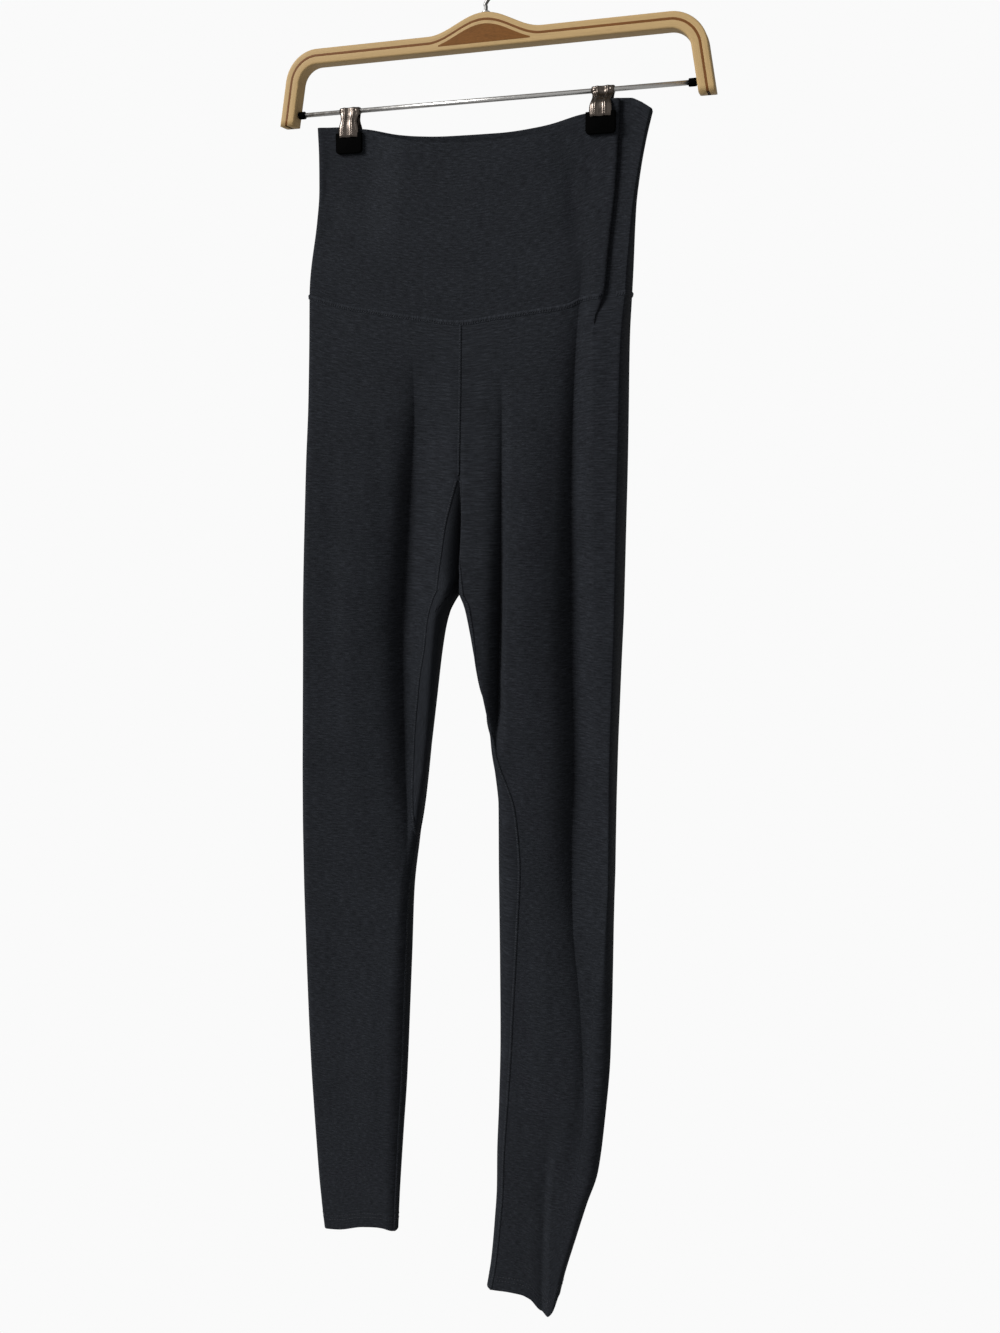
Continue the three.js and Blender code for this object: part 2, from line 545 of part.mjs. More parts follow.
// Position of a share of the inner rounding, and where a leg's cloth starts and ends in a row
function insidePosition(legName, face, share) {
  const spans = LEGS[legName].spans[face].length;
  return (Math.acos(1 - Math.min(share, 1)) / (Math.PI / 2)) / spans;
}
function seamStart(legName, z) {
  const leg = LEGS[legName];
  const tip = leg.seam[leg.seam.length - 1].z;
  if (z > GUSSET_TOP_Z) return 0;
  const share = z > tip ? along(leg.seam, 'z', 'front', z) : along(leg.inseam, 'z', 'at', z);
  return insidePosition(legName, 'front', share);
}
function seamEnd(legName, z) {
  const leg = LEGS[legName];
  const tip = leg.seam[leg.seam.length - 1].z;
  if (z > GUSSET_TOP_Z) return 2;
  if (z > tip) return 2 - insidePosition(legName, 'back', along(leg.seam, 'z', 'back', z));
  return 2 + insidePosition(legName, 'front', along(leg.inseam, 'z', 'at', z));
}

// Moves the first and last point of a row away from the seam by half its gap
function easeEnds(row, gap) {
  const first = row[0].clone().sub(row[1]).setLength(gap);
  const last = row[row.length - 1].clone().sub(row[row.length - 2]).setLength(gap);
  row[0].sub(first);
  row[row.length - 1].sub(last);
  return row;
}

function legRow(legName, rowZ) {
  const leg = LEGS[legName];
  const start = seamStart(legName, rowZ);
  const end = seamEnd(legName, rowZ);
  const front = positions(leg.spans.front);
  const back = positions(leg.spans.back).map((s) => 2 - s).reverse();
  const insideFront = leg.spans.front[0];
  const insideBack = leg.spans.back[0];
  const list = front.map((s, k) => (k < insideFront ? mix(start, front[insideFront], k / insideFront) : s));
  const rear = back.slice(1).map((s, k, all) => {
    const fromEnd = all.length - 1 - k;
    return fromEnd < insideBack ? mix(end, all[all.length - 1 - insideBack], fromEnd / insideBack) : s;
  });
  const all = [...list, ...rear];
  return {
    points: easeEnds(all.map((position) => legPoint(legName, position, rowZ)), SEAM_GAP / 2),
    normals: all.map((position) => legNormal(legName, position, rowZ)),
  };
}

// Unit normals of a grid of points, from the steps to the neighbours
function normals(grid) {
  return grid.map((row, i) => row.map((point, j) => {
    const acrossStep = row[Math.min(j + 1, row.length - 1)].clone().sub(row[Math.max(j - 1, 0)]);
    const downStep = grid[Math.min(i + 1, grid.length - 1)][j].clone().sub(grid[Math.max(i - 1, 0)][j]);
    return acrossStep.cross(downStep).normalize();
  }));
}

// A closed wall between two grids of the same size
function wall(outer, inner) {
  const rows = outer.length;
  const columns = outer[0].length;
  const positionsList = [];
  for (const grid of [outer, inner]) {
    for (const row of grid) for (const point of row) positionsList.push(point.x, point.y, point.z);
  }
  const at = (layer, i, j) => layer * rows * columns + i * columns + j;
  const faces = [];
  const quad = (a, b, c, d) => faces.push(a, b, c, a, c, d);
  for (let i = 0; i < rows - 1; i += 1) {
    for (let j = 0; j < columns - 1; j += 1) {
      quad(at(0, i, j), at(0, i + 1, j), at(0, i + 1, j + 1), at(0, i, j + 1));
      quad(at(1, i, j), at(1, i, j + 1), at(1, i + 1, j + 1), at(1, i + 1, j));
    }
    quad(at(0, i, 0), at(1, i, 0), at(1, i + 1, 0), at(0, i + 1, 0));
    const end = columns - 1;
    quad(at(0, i, end), at(0, i + 1, end), at(1, i + 1, end), at(1, i, end));
  }
  for (let j = 0; j < columns - 1; j += 1) {
    quad(at(0, 0, j), at(0, 0, j + 1), at(1, 0, j + 1), at(1, 0, j));
    quad(at(0, rows - 1, j), at(1, rows - 1, j), at(1, rows - 1, j + 1), at(0, rows - 1, j + 1));
  }
  return closed(positionsList, faces);
}

// A geometry from points and faces, turned so that its faces point out
function closed(points, faces) {
  let volume = 0;
  const corner = (k) => new THREE.Vector3(points[3 * k], points[3 * k + 1], points[3 * k + 2]);
  for (let f = 0; f < faces.length; f += 3) {
    volume += corner(faces[f]).dot(corner(faces[f + 1]).cross(corner(faces[f + 2])));
  }
  const turned = volume < 0 ? faces.slice().reverse() : faces;
  const geometry = new THREE.BufferGeometry();
  geometry.setAttribute('position', new THREE.Float32BufferAttribute(points, 3));
  geometry.setIndex(turned);
  geometry.computeVertexNormals();
  return geometry;
}

// The inside of a wall: the grid moved in, kept on its own side of the mid plane
function inwards(grid, directions, thickness) {
  return grid.map((row, i) => row.map((point, j) => {
    const result = point.clone().addScaledVector(directions[i][j], -thickness(i));
    if (point.y < 0) result.y = Math.min(result.y, -MID_PLANE_GAP);
    if (point.y > 0) result.y = Math.max(result.y, MID_PLANE_GAP);
    return result;
  }));
}

function makeLeg(legName) {
  const leg = LEGS[legName];
  const rows = leg.rows.map((rowZ) => legRow(legName, rowZ));
  const outer = rows.map((row) => row.points);
  const hemRow = leg.rows[leg.rows.length - 1];
  const thickness = (i) => (leg.rows[i] - hemRow < HEM_DEPTH ? HEM_WALL : LEG_WALL);
  add(`leg_${legName}`, wall(outer, inwards(outer, rows.map((row) => row.normals), thickness)), JERSEY);
}

// The gusset: rows from its front point down to the inner edges and up to its back point
const GUSSET_ACROSS = 4;
const GUSSET_SAG = 0.85;
const GUSSET_SPREAD = 1.4;
function gussetRow(face, k) {
  const lastRow = LEFT_SEAM.length - 1;
  const centreZ = mix(GUSSET_TOP_Z, CROTCH_Z, (k / lastRow) ** GUSSET_SAG);
  const points = [];
  const directions = [];
  const half = (legName, share) => {
    const seam = LEGS[legName].seam[k];
    const rowZ = mix(centreZ, seam.z, share ** GUSSET_SPREAD);
    const s = insidePosition(legName, face, seam[face]) * share;
    const position = face === 'front' ? s : 2 - s;
    points.push(legPoint(legName, position, rowZ));
    directions.push(share > 0 ? legNormal(legName, position, rowZ) : null);
  };
  for (let j = GUSSET_ACROSS; j > 0; j -= 1) half('left', j / GUSSET_ACROSS);
  for (let j = 0; j <= GUSSET_ACROSS; j += 1) half('right', j / GUSSET_ACROSS);
  return { points: easeEnds(points, SEAM_GAP / 2), directions };
}
function makeGusset() {
  const last = LEFT_SEAM.length - 1;
  const rows = [];
  for (let k = 0; k <= last; k += 1) rows.push(gussetRow('front', k));
  for (let k = last - 1; k >= 0; k -= 1) rows.push(gussetRow('back', k));
  const outer = rows.map((row) => row.points);
  for (const end of [0, outer.length - 1]) for (const point of outer[end]) point.z -= 2 * SEAM_GAP;
  const own = normals(outer);
  const sign = own[1][GUSSET_ACROSS].y < 0 ? 1 : -1;
  const directions = rows.map((row, i) => row.directions.map(
    (direction, j) => direction || own[i][j].multiplyScalar(sign),
  ));
  add('gusset', wall(outer, inwards(outer, directions, () => LEG_WALL)), JERSEY);
}

// The band, row by row from its top edge to the yoke seam, left edge to right edge
const BAND_ROWS = 9;
const BAND_MEAN_TOP_Z = -165;
const BAND_MEAN_LOW_Z = -328;
function bandPoint(face, down, legName, s) {
  let z = mix(BAND_MEAN_TOP_Z, BAND_MEAN_LOW_Z, down);
  let x = 0;
  for (let pass = 0; pass < EDGE_PASSES; pass += 1) {
    x = columnX(face, legName, s, z);
    const top = along(BAND_TOP[face], 'x', 'z', x);
    const low = along(YOKE_SEAM[face], 'x', 'z', x) + SEAM_GAP;
    z = mix(top, low, down);
  }
  return skin(legName, s, x, z, face);
}
const BAND_SPANS = {
  left: [1, 3, 5, 4],
  right: { front: [1, 1, 4, 1, 12, 1, 3], back: [1, 2, 4, 4, 3] },
};
function bandRow(face, down) {
  const row = [];
  const left = positions(BAND_SPANS.left).reverse();
  for (const s of left) row.push(bandPoint(face, down, 'left', s));
  for (const s of positions(BAND_SPANS.right[face]).slice(1)) row.push(bandPoint(face, down, 'right', s));
  const side = face === 'front' ? -MID_PLANE_GAP : MID_PLANE_GAP;
  for (const end of [0, row.length - 1]) row[end].y = side;
  return row;
}
function makeBand(face) {
  const outer = [];
  for (let i = 0; i <= BAND_ROWS; i += 1) outer.push(bandRow(face, i / BAND_ROWS));
  const toward = face === 'front' ? -1 : 1;
  const own = normals(outer);
  const facing = own.flat().reduce((sum, normal) => sum + normal.y, 0);
  const sign = Math.sign(facing) === toward ? 1 : -1;
  const directions = own.map((row) => row.map((normal) => normal.multiplyScalar(sign)));
  add(`waistband_${face}`, wall(outer, inwards(outer, directions, () => BAND_WALL)), JERSEY);
}

// A raised welt: a strip whose sections are points of the cloth moved out along its normals
const WELT_SECTION = [
  { across: -1, up: 0 }, { across: -0.62, up: 1 }, { across: 0.62, up: 1 }, { across: 1, up: 0 },
];
const weltLift = (up) => WELT_GAP + up * WELT_HEIGHT;
function makeWelt(name, sections) {
  const points = [];
  const faces = [];
  for (const section of sections) for (const point of section) points.push(point.x, point.y, point.z);
  const sides = WELT_SECTION.length;
  for (let i = 0; i < sections.length - 1; i += 1) {
    for (let k = 0; k < sides; k += 1) {
      const a = i * sides + k;
      const b = i * sides + ((k + 1) % sides);
      faces.push(a, b, b + sides, a, b + sides, a + sides);
    }
  }
  const end = (sections.length - 1) * sides;
  faces.push(0, 2, 1, 0, 3, 2, end, end + 1, end + 2, end, end + 2, end + 3);
  add(name, closed(points, faces), WELT_JERSEY);
}

const YOKE_WELT_HALF = 2;
const SEAM_WELT_HALF = 1.4;
const WELT_START = 0.02;
const WELT_END = 0.99;
const LEAST_WELT_STEP = 0.01;

// The yoke seam's welt along one stretch of columns, given as legs and positions
function makeYokeWelt(name, face, stretch) {
  const middleZ = YOKE_Z + SEAM_GAP / 2;
  makeWelt(name, stretch.map(([legName, s]) => WELT_SECTION.map(({ across, up }) => lifted(
    legName,
    face === 'front' ? s : 2 - s,
    middleZ + across * YOKE_WELT_HALF,
    weltLift(up),
  ))));
}
function makeYokeWelts() {
  const stretch = (legName, face, from, to) => {
    const inside = positions(LEGS[legName].spans[face]).filter(
      (s) => s > from + LEAST_WELT_STEP && s < to - LEAST_WELT_STEP,
    );
    return [from, ...inside, to].map((s) => [legName, s]);
  };
  const spans = LEGS.right.spans.front.length;
  const pleatFrom = (PLEAT_SPAN + PLEAT_WELT_END) / spans;
  const pleatTo = (PLEAT_SPAN + 1) / spans;
  makeYokeWelt('yoke_welt_front', 'front', [
    ...stretch('left', 'front', WELT_START, WELT_END).reverse(),
    ...stretch('right', 'front', 0, pleatFrom),
  ]);
  makeYokeWelt('yoke_welt_side', 'front', stretch('right', 'front', pleatTo, WELT_END));
  makeYokeWelt('yoke_welt_back', 'back', [
    ...stretch('left', 'back', WELT_START, WELT_END).reverse(),
    ...stretch('right', 'back', 0, WELT_END),
  ]);
}

const CENTRE_WELT_STEPS = 9;
const CENTRE_WELT_TOP_Z = YOKE_Z - YOKE_WELT_HALF - 1;
const CENTRE_WELT_LOW_Z = GUSSET_TOP_Z + 1.5;
function makeCentreWelt(face) {
  const sections = [];
  for (let k = 0; k <= CENTRE_WELT_STEPS; k += 1) {
    const rowZ = mix(CENTRE_WELT_TOP_Z, CENTRE_WELT_LOW_Z, k / CENTRE_WELT_STEPS);
    sections.push(WELT_SECTION.map(({ across, up }) => {
      const legName = across < 0 ? 'left' : 'right';
      const share = (Math.abs(across) * SEAM_WELT_HALF) / fullness(LEGS[legName].inside, rowZ);
      const s = insidePosition(legName, face, share);
      return lifted(legName, face === 'front' ? s : 2 - s, rowZ, weltLift(up));
    }));
  }
  makeWelt(`centre_${face}_welt`, sections);
}

const LEG_WELT_TOP_Z = { left: -488, right: -492 };
const LEG_WELT_TIP_GAP = 12;
const LEG_WELT_FIRST_STEP = 6;
const LEG_WELT_LAST_STEP = 3;
function makeLegWelt(legName, face) {
  const leg = LEGS[legName];
  const tip = leg.seam[leg.seam.length - 1].z;
  const bottom = face === 'front' ? leg.rows[leg.rows.length - 1] : tip + LEG_WELT_TIP_GAP;
  const top = LEG_WELT_TOP_Z[legName];
  const between = leg.rows.filter((z) => z < top - LEG_WELT_FIRST_STEP && z > bottom + LEG_WELT_LAST_STEP);
  const heights = [top, ...between, bottom];
  const seam = (z) => (face === 'front' ? seamStart(legName, z) : seamEnd(legName, z));
  makeWelt(face === 'front' ? `inseam_welt_${legName}` : `gusset_welt_${legName}`, heights.map((rowZ) => {
    const middle = seam(rowZ);
    const step = legPoint(legName, middle + POSITION_STEP, rowZ).distanceTo(
      legPoint(legName, middle - POSITION_STEP, rowZ),
    );
    const half = (SEAM_WELT_HALF * 2 * POSITION_STEP) / step;
    // Above the crotch a welt stays on its own leg's side of the centre seam
    const [least, most] = rowZ > CROTCH_Z ? [POSITION_STEP, 2 - POSITION_STEP] : [-1, 4];
    return WELT_SECTION.map(({ across, up }) => {
      const position = Math.min(Math.max(middle + across * half, least), most);
      return lifted(legName, position, rowZ, weltLift(up));
    });
  }));
}

// Bent plies: an outline of half the hanger at a depth below its outer face, from the arm's end
// round the corner. The arm leans out as it goes down, and the corner's arc runs into it.
const LEAN_ANGLE = Math.atan(WOOD_LEAN);
const WOOD_CORNER_Z = WOOD_TOP_Z - WOOD_CORNER;
const ARC_END_Z = WOOD_CORNER_Z + WOOD_CORNER * Math.sin(LEAN_ANGLE);
const WOOD_CORNER_X = WOOD_HALF_WIDTH - (ARC_END_Z - WOOD_END_Z) * WOOD_LEAN
  - WOOD_CORNER * Math.cos(LEAN_ANGLE);
const CORNER_STEPS = 8;
function woodHalf(inset) {
  const half = [[WOOD_HALF_WIDTH - inset / Math.cos(LEAN_ANGLE), WOOD_END_Z]];
  const radius = WOOD_CORNER - inset;
  for (let k = 0; k <= CORNER_STEPS; k += 1) {
    const angle = mix(LEAN_ANGLE, Math.PI / 2, k / CORNER_STEPS);
    half.push([WOOD_CORNER_X + radius * Math.cos(angle), WOOD_CORNER_Z + radius * Math.sin(angle)]);
  }
  half.push([mix(WOOD_CORNER_X, HUMP_HALF_WIDTH, 0.5), WOOD_TOP_Z - inset]);
  return half;
}
function humpTop(x, inset) {
  const lift = Math.abs(x) < HUMP_HALF_WIDTH ? 0.5 * (1 + Math.cos((Math.PI * x) / HUMP_HALF_WIDTH)) : 0;
  return WOOD_TOP_Z - inset + HUMP_RISE * lift;
}
function humpLine(inset, steps, reachX) {
  const line = [];
  for (let k = 0; k <= steps; k += 1) {
    const x = mix(reachX, -reachX, k / steps);
    line.push([x, humpTop(x, inset)]);
  }
  return line;
}
function mirrored(list) {
  return list.map(([x, z]) => [-x, z]).reverse();
}
// From the right end over the top to the left end
function woodLine(inset, withHump) {
  const half = woodHalf(inset);
  const middle = withHump ? humpLine(inset, 16, HUMP_HALF_WIDTH) : [];
  return [...half, ...middle, ...mirrored(half)];
}
function extrudeAlongY(shape, depth, bevel) {
  const geometry = new THREE.ExtrudeGeometry(shape, {
    depth: depth - 2 * bevel, bevelEnabled: bevel > 0, bevelThickness: bevel, bevelSize: bevel,
    bevelOffset: -bevel, bevelSegments: 1, curveSegments: 12,
  });
  geometry.translate(0, 0, -(depth - 2 * bevel) / 2);
  geometry.rotateX(Math.PI / 2);
  return geometry;
}
function shapeOf(points) {
  return new THREE.Shape(points.map(([x, z]) => new THREE.Vector2(x, z)));
}
function plyShape(fromInset, toInset, humpBelow) {
  return shapeOf([...woodLine(fromInset, true), ...woodLine(toInset, humpBelow).reverse()]);
}
function windowLine(inset, lowZ, reachX) {
  return [...humpLine(inset, 12, reachX), [-reachX, lowZ], [reachX, lowZ]];
}
function makeHangerWood() {
  const innerFrom = OUTER_PLY + GLUE_GAP;
  const windowFrom = innerFrom + HUMP_BRANCH;
  add('hanger_outer_ply', extrudeAlongY(plyShape(0, OUTER_PLY, true), WOOD_DEPTH, WOOD_BEVEL), BEECH);
  const innerShape = plyShape(innerFrom, innerFrom + INNER_PLY, false);
  const window = windowLine(windowFrom, INSERT_LOW_Z, INSERT_REACH);
  innerShape.holes.push(new THREE.Path(window.map(([x, z]) => new THREE.Vector2(x, z))));
  add('hanger_inner_ply', extrudeAlongY(innerShape, WOOD_DEPTH, 0), BEECH);
  const insert = windowLine(windowFrom + GLUE_GAP, INSERT_LOW_Z + GLUE_GAP, INSERT_REACH - INSERT_END_GAP);
  add('hanger_insert', extrudeAlongY(shapeOf(insert), WOOD_DEPTH - 2 * INSERT_RECESS, 0), VENEER);
}

// A round rod along a curve, with flat ends
function rod(points, diameter, steps, sides) {
  const shape = new THREE.Shape();
  shape.absarc(0, 0, diameter / 2, 0, Math.PI * 2, false);
  const curve = new THREE.CatmullRomCurve3(points, false, 'centripetal');
  return new THREE.ExtrudeGeometry(shape, {
    steps, extrudePath: curve, curveSegments: sides, bevelEnabled: false,
  });
}
function makeHook() {
  const radius = HOOK_INNER_RADIUS + HOOK_WIRE / 2;
  const low = WOOD_TOP_Z + HUMP_RISE + GLUE_GAP;
  const points = HOOK_STEM.map(({ x, up }) => new THREE.Vector3(x, 0, low + up));
  for (let k = 1; k <= HOOK_ARC_POINTS; k += 1) {
    const angle = HOOK_ARC_START + (k / HOOK_ARC_POINTS) * HOOK_ARC_SWEEP;
    points.push(new THREE.Vector3(
      radius * Math.cos(angle), 0, radius * Math.sin(angle) - HOOK_INNER_RADIUS,
    ));
  }
  add('hook', rod(points, HOOK_WIRE, HOOK_SEGMENTS, 5), STEEL);
  const profile = COLLAR.map(({ out, up }) => new THREE.Vector2(HOOK_WIRE / 2 + out, up));
  const ring = new THREE.LatheGeometry(profile, 16);
  ring.rotateX(Math.PI / 2);
  ring.translate(0, 0, low);
  add('hook_collar', ring, STEEL);
}

// Inner face of the hanger's arm at the bar's height
function armInnerX() {
  const inset = OUTER_PLY + GLUE_GAP + INNER_PLY;
  const half = woodHalf(inset);
  const [lowX, lowZ] = half[0];
  const [highX, highZ] = half[1];
  return mix(lowX, highX, (BAR_Z - lowZ) / (highZ - lowZ));
}
function cylinderAlongX(diameter, from, to, sides) {
  const geometry = new THREE.CylinderGeometry(diameter / 2, diameter / 2, to - from, sides);
  geometry.rotateZ(Math.PI / 2);
  geometry.translate((from + to) / 2, 0, BAR_Z);
  return geometry;
}
function makeBar() {
  const innerX = armInnerX();
  const plugFrom = innerX - PLUG_LENGTH - PLUG_END_GAP;
  add('bar', cylinderAlongX(BAR_DIAMETER, -plugFrom + GLUE_GAP, plugFrom - GLUE_GAP, 12), STEEL);
  add('bar_plug_left', cylinderAlongX(PLUG_DIAMETER, -plugFrom - PLUG_LENGTH, -plugFrom, 14), RUBBER);
  add('bar_plug_right', cylinderAlongX(PLUG_DIAMETER, plugFrom, plugFrom + PLUG_LENGTH, 14), RUBBER);
}

// A clip: a bent spring over the bar, whose two leaves press a pad on each side of the cloth
function makeClip(clip) {
  const frontFace = -(clip.front + GLUE_GAP);
  const backFace = clip.back + GLUE_GAP;
  const frontOut = frontFace - JAW_THICKNESS;
  const backOut = backFace + JAW_THICKNESS;
  const loop = BAR_DIAMETER / 2 + GLUE_GAP;
  const eighth = loop * Math.SQRT1_2;
  const neck = loop + SPRING_NECK.out;
  const neckZ = BAR_Z - SPRING_NECK.down;
  const leafFront = frontOut - GLUE_GAP;
  const leafBack = backOut + GLUE_GAP;
  const line = [
    [leafFront, SPRING_LEAF_LOW_Z], [leafFront, SPRING_SHOULDER_Z], [-neck, neckZ], [-loop, BAR_Z],
    [-eighth, BAR_Z + eighth], [0, BAR_Z + loop], [eighth, BAR_Z + eighth], [loop, BAR_Z],
    [neck, neckZ], [leafBack, SPRING_SHOULDER_Z], [leafBack, SPRING_LEAF_LOW_Z],
  ];
  const outer = line.map(([y, z], i) => {
    const [beforeY, beforeZ] = line[Math.max(i - 1, 0)];
    const [afterY, afterZ] = line[Math.min(i + 1, line.length - 1)];
    const length = Math.hypot(afterY - beforeY, afterZ - beforeZ);
    const thick = SPRING_SHEET / length;
    return [y - (afterZ - beforeZ) * thick, z + (afterY - beforeY) * thick];
  });
  const spring = new THREE.ExtrudeGeometry(
    shapeOf([...line, ...outer.reverse()]),
    { depth: SPRING_WIDTH, bevelEnabled: false },
  );
  spring.translate(0, 0, -SPRING_WIDTH / 2);
  spring.rotateX(Math.PI / 2);
  spring.rotateZ(Math.PI / 2);
  spring.translate(clip.x, 0, 0);
  add(`${clip.name}_spring`, spring, STEEL);
  const pad = (name, from, to) => {
    const height = JAW_TOP_Z - JAW_LOW_Z;
    const shape = new THREE.Shape();
    const half = CLIP_HALF_WIDTH;
    shape.moveTo(-half + JAW_ROUND, 0);
    shape.lineTo(half - JAW_ROUND, 0);
    shape.quadraticCurveTo(half, 0, half, JAW_ROUND);
    shape.lineTo(half, height);
    shape.lineTo(-half, height);
    shape.lineTo(-half, JAW_ROUND);
    shape.quadraticCurveTo(-half, 0, -half + JAW_ROUND, 0);
    const geometry = new THREE.ExtrudeGeometry(shape, {
      depth: to - from, bevelEnabled: false, curveSegments: 3,
    });
    geometry.rotateX(Math.PI / 2);
    geometry.translate(clip.x, to, JAW_LOW_Z);
    add(name, geometry, RUBBER);
  };
  pad(`${clip.name}_front_pad`, frontOut, frontFace);
  pad(`${clip.name}_back_pad`, backFace, backOut);
}

makeBand('front');
makeBand('back');
makeLeg('left');
makeLeg('right');
makeGusset();
makeYokeWelts();
makeCentreWelt('front');
makeCentreWelt('back');
for (const legName of ['left', 'right']) {
  makeLegWelt(legName, 'front');
  makeLegWelt(legName, 'back');
}
makeHangerWood();
makeHook();
makeBar();
for (const clip of CLIPS) makeClip(clip);

export default part;
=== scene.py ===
"""Leggings on a clip hanger: the finished looks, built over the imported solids."""

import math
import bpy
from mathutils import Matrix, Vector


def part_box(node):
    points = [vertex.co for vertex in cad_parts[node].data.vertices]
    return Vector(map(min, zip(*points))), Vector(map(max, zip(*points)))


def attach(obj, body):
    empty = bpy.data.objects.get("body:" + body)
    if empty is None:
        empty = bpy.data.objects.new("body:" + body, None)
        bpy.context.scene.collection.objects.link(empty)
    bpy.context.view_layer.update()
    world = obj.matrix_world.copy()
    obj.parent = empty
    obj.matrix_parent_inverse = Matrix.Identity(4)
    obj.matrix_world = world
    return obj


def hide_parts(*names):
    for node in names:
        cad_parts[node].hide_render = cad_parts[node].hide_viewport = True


bl_info = {
    "name": "Leggings on a clip hanger",
    "version": (1, 0, 0),
    "blender": (4, 5, 0),
    "location": "3D View > Sidebar > Leggings",
    "description": "Builds a pair of hung leggings, their seams and their hanger as real-size meshes",
    "category": "Add Mesh",
}

import bmesh
import bpy
import numpy as np
from bpy.props import FloatProperty, FloatVectorProperty, PointerProperty
from mathutils import Matrix, Vector

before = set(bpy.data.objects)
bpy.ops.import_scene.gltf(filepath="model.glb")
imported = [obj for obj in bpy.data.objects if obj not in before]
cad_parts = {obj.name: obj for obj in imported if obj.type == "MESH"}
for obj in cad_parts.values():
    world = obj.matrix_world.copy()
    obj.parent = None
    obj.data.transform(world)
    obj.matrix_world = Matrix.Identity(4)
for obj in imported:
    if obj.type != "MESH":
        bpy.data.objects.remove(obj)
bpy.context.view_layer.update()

MM = 0.001

# ---- The cloth's own form, in millimetres: the part's tables, with finer folds at the front ----


def table(columns, *rows):
    """A table with named columns, as arrays."""
    return dict(zip(columns.split(), np.array(rows, dtype=float).T))


OUTLINE = table(
    "z left_outer left_inner right_inner right_outer",
    (-150, -172, -18.5, -18.5, 156),
    (-180, -170.9, -18.5, -18.5, 149),
    (-212, -170.8, -18.5, -18.5, 143.4),
    (-240, -172.4, -18.5, -18.5, 139.8),
    (-313, -179.2, -18.5, -18.5, 135.5),
    (-355, -179.4, -18, -18, 133.5),
    (-415, -180.4, -17.5, -17.5, 132.7),
    (-473, -183, -19, -19, 131.6),
    (-533, -185.1, -21, -21, 130.3),
    (-591, -187, -23.8, -23.8, 129.2),
    (-602, -187.4, -31.2, -18.7, 129),
    (-613, -187.8, -38, -16.2, 128.8),
    (-625, -188.2, -41.8, -13.6, 128.4),
    (-661, -189.2, -48, -6.3, 127.2),
    (-700, -190.3, -52.8, 3, 126),
    (-737, -191.4, -57.4, 8.9, 124.9),
    (-800, -193.2, -65.6, 13.7, 124),
    (-850, -194, -72.7, 13.6, 123.8),
    (-900, -194.2, -77.8, 14, 123.9),
    (-960, -193.5, -79.6, 14.5, 124.2),
    (-1030, -192.2, -82.4, 14.7, 123),
    (-1096, -190.2, -85.6, 13.2, 118),
    (-1148, -187.7, -89.4, 11.2, 111.8),
    (-1182, -185.8, -91.8, 10.8, 101.4),
    (-1220, -183.4, -94.3, 8.4, 90.6),
    (-1260, -179.6, -96.3, 4.8, 79.6),
    (-1300, -175, -98, -1.4, 71),
)
FULLNESS = table(
    "z front back left_corner right_corner left_inside right_inside",
    (-152, 10, 10, 15, 9, 24, 24),
    (-240, 15, 14, 18, 10, 24, 24),
    (-320, 19, 18, 22, 12, 24, 24),
    (-400, 24, 23, 27, 20, 24, 24),
    (-500, 28, 28, 30, 20, 24, 24),
    (-591, 30, 29, 31, 20, 24, 24),
    (-661, 28, 27, 31, 19, 20, 14),
    (-700, 27, 26, 31, 18, 18, 9.5),
    (-737, 26, 25, 31, 17, 16.5, 10),
    (-795, 24, 23, 31, 16, 13, 23),
    (-850, 22, 21, 30, 15, 10, 27),
    (-900, 20, 19, 29, 15, 13, 25),
    (-1000, 17, 16, 27, 15, 20, 21),
    (-1100, 14, 13, 23, 14, 20, 18),
    (-1182, 11, 10, 19, 11, 16, 15),
    (-1300, 7, 7, 13, 6, 12, 11),
)
FOLD_LINES = table(
    "z left_fold right_fold thigh_fold ridge ridge_half",
    (-152, -72, 17, 93, 126.5, 10),
    (-212, -72, 17, 93, 124, 10),
    (-271, -72, 17, 93, 119.5, 10),
    (-320, -72, 17, 88, 115.5, 10),
    (-350, -72, 17, 84, 107.5, 9),
    (-412, -72, 17, 82.5, 103, 7),
    (-487, -75, 17, 83.5, 102.5, 6),
    (-571, -80, 17, 84, 102.5, 6),
    (-640, -82.5, 16.8, 84.5, 103, 5),
    (-700, -82.5, 17.2, 84.5, 103, 5),
    (-740, -82, 23, 84.8, 103, 5),
    (-790, -81, 38, 85, 103, 5),
    (-850, -86, 44, 84, 103, 5),
    (-910, -97, 43, 82.5, 103, 5),
    (-1000, -108, 40, 80, 102, 5),
    (-1100, -116, 36, 70, 96, 5),
    (-1150, -118, 33, 62.5, 89, 5),
    (-1200, -120, 30, 59.5, 78, 4),
    (-1300, -122, 22, 57.5, 63, 2),
)


def share(*rows):
    """How much of the fullness a fold takes, down its length."""
    return table("z at", *rows)


# The bottoms of the deep folds, down the hung cloth
LIPS = table(
    "z left_lip right_lip thigh_lip",
    (-152, -66, 22.5, 97),
    (-255, -66, 22.5, 96.5),
    (-315, -66, 22.5, 93.5),
    (-367, -65.6, 22.5, 89.5),
    (-413, -66, 22.5, 87),
    (-487, -73.4, 22, 84.5),
    (-529, -77.5, 21, 84),
    (-593, -83, 19, 84),
    (-653, -86, 17, 84.8),
    (-698, -85.5, 16, 86),
    (-726, -85, 16.5, 87),
    (-764, -84, 30, 87),
    (-814, -80.5, 41, 85.5),
    (-851, -79, 45, 86),
    (-910, -86, 45, 89),
    (-970, -97, 43, 95),
    (-1016, -105, 41, 98),
    (-1080, -113, 37, 100),
    (-1147, -118, 33, 92),
    (-1200, -120, 30, 80),
    (-1300, -122, 22, 62),
)

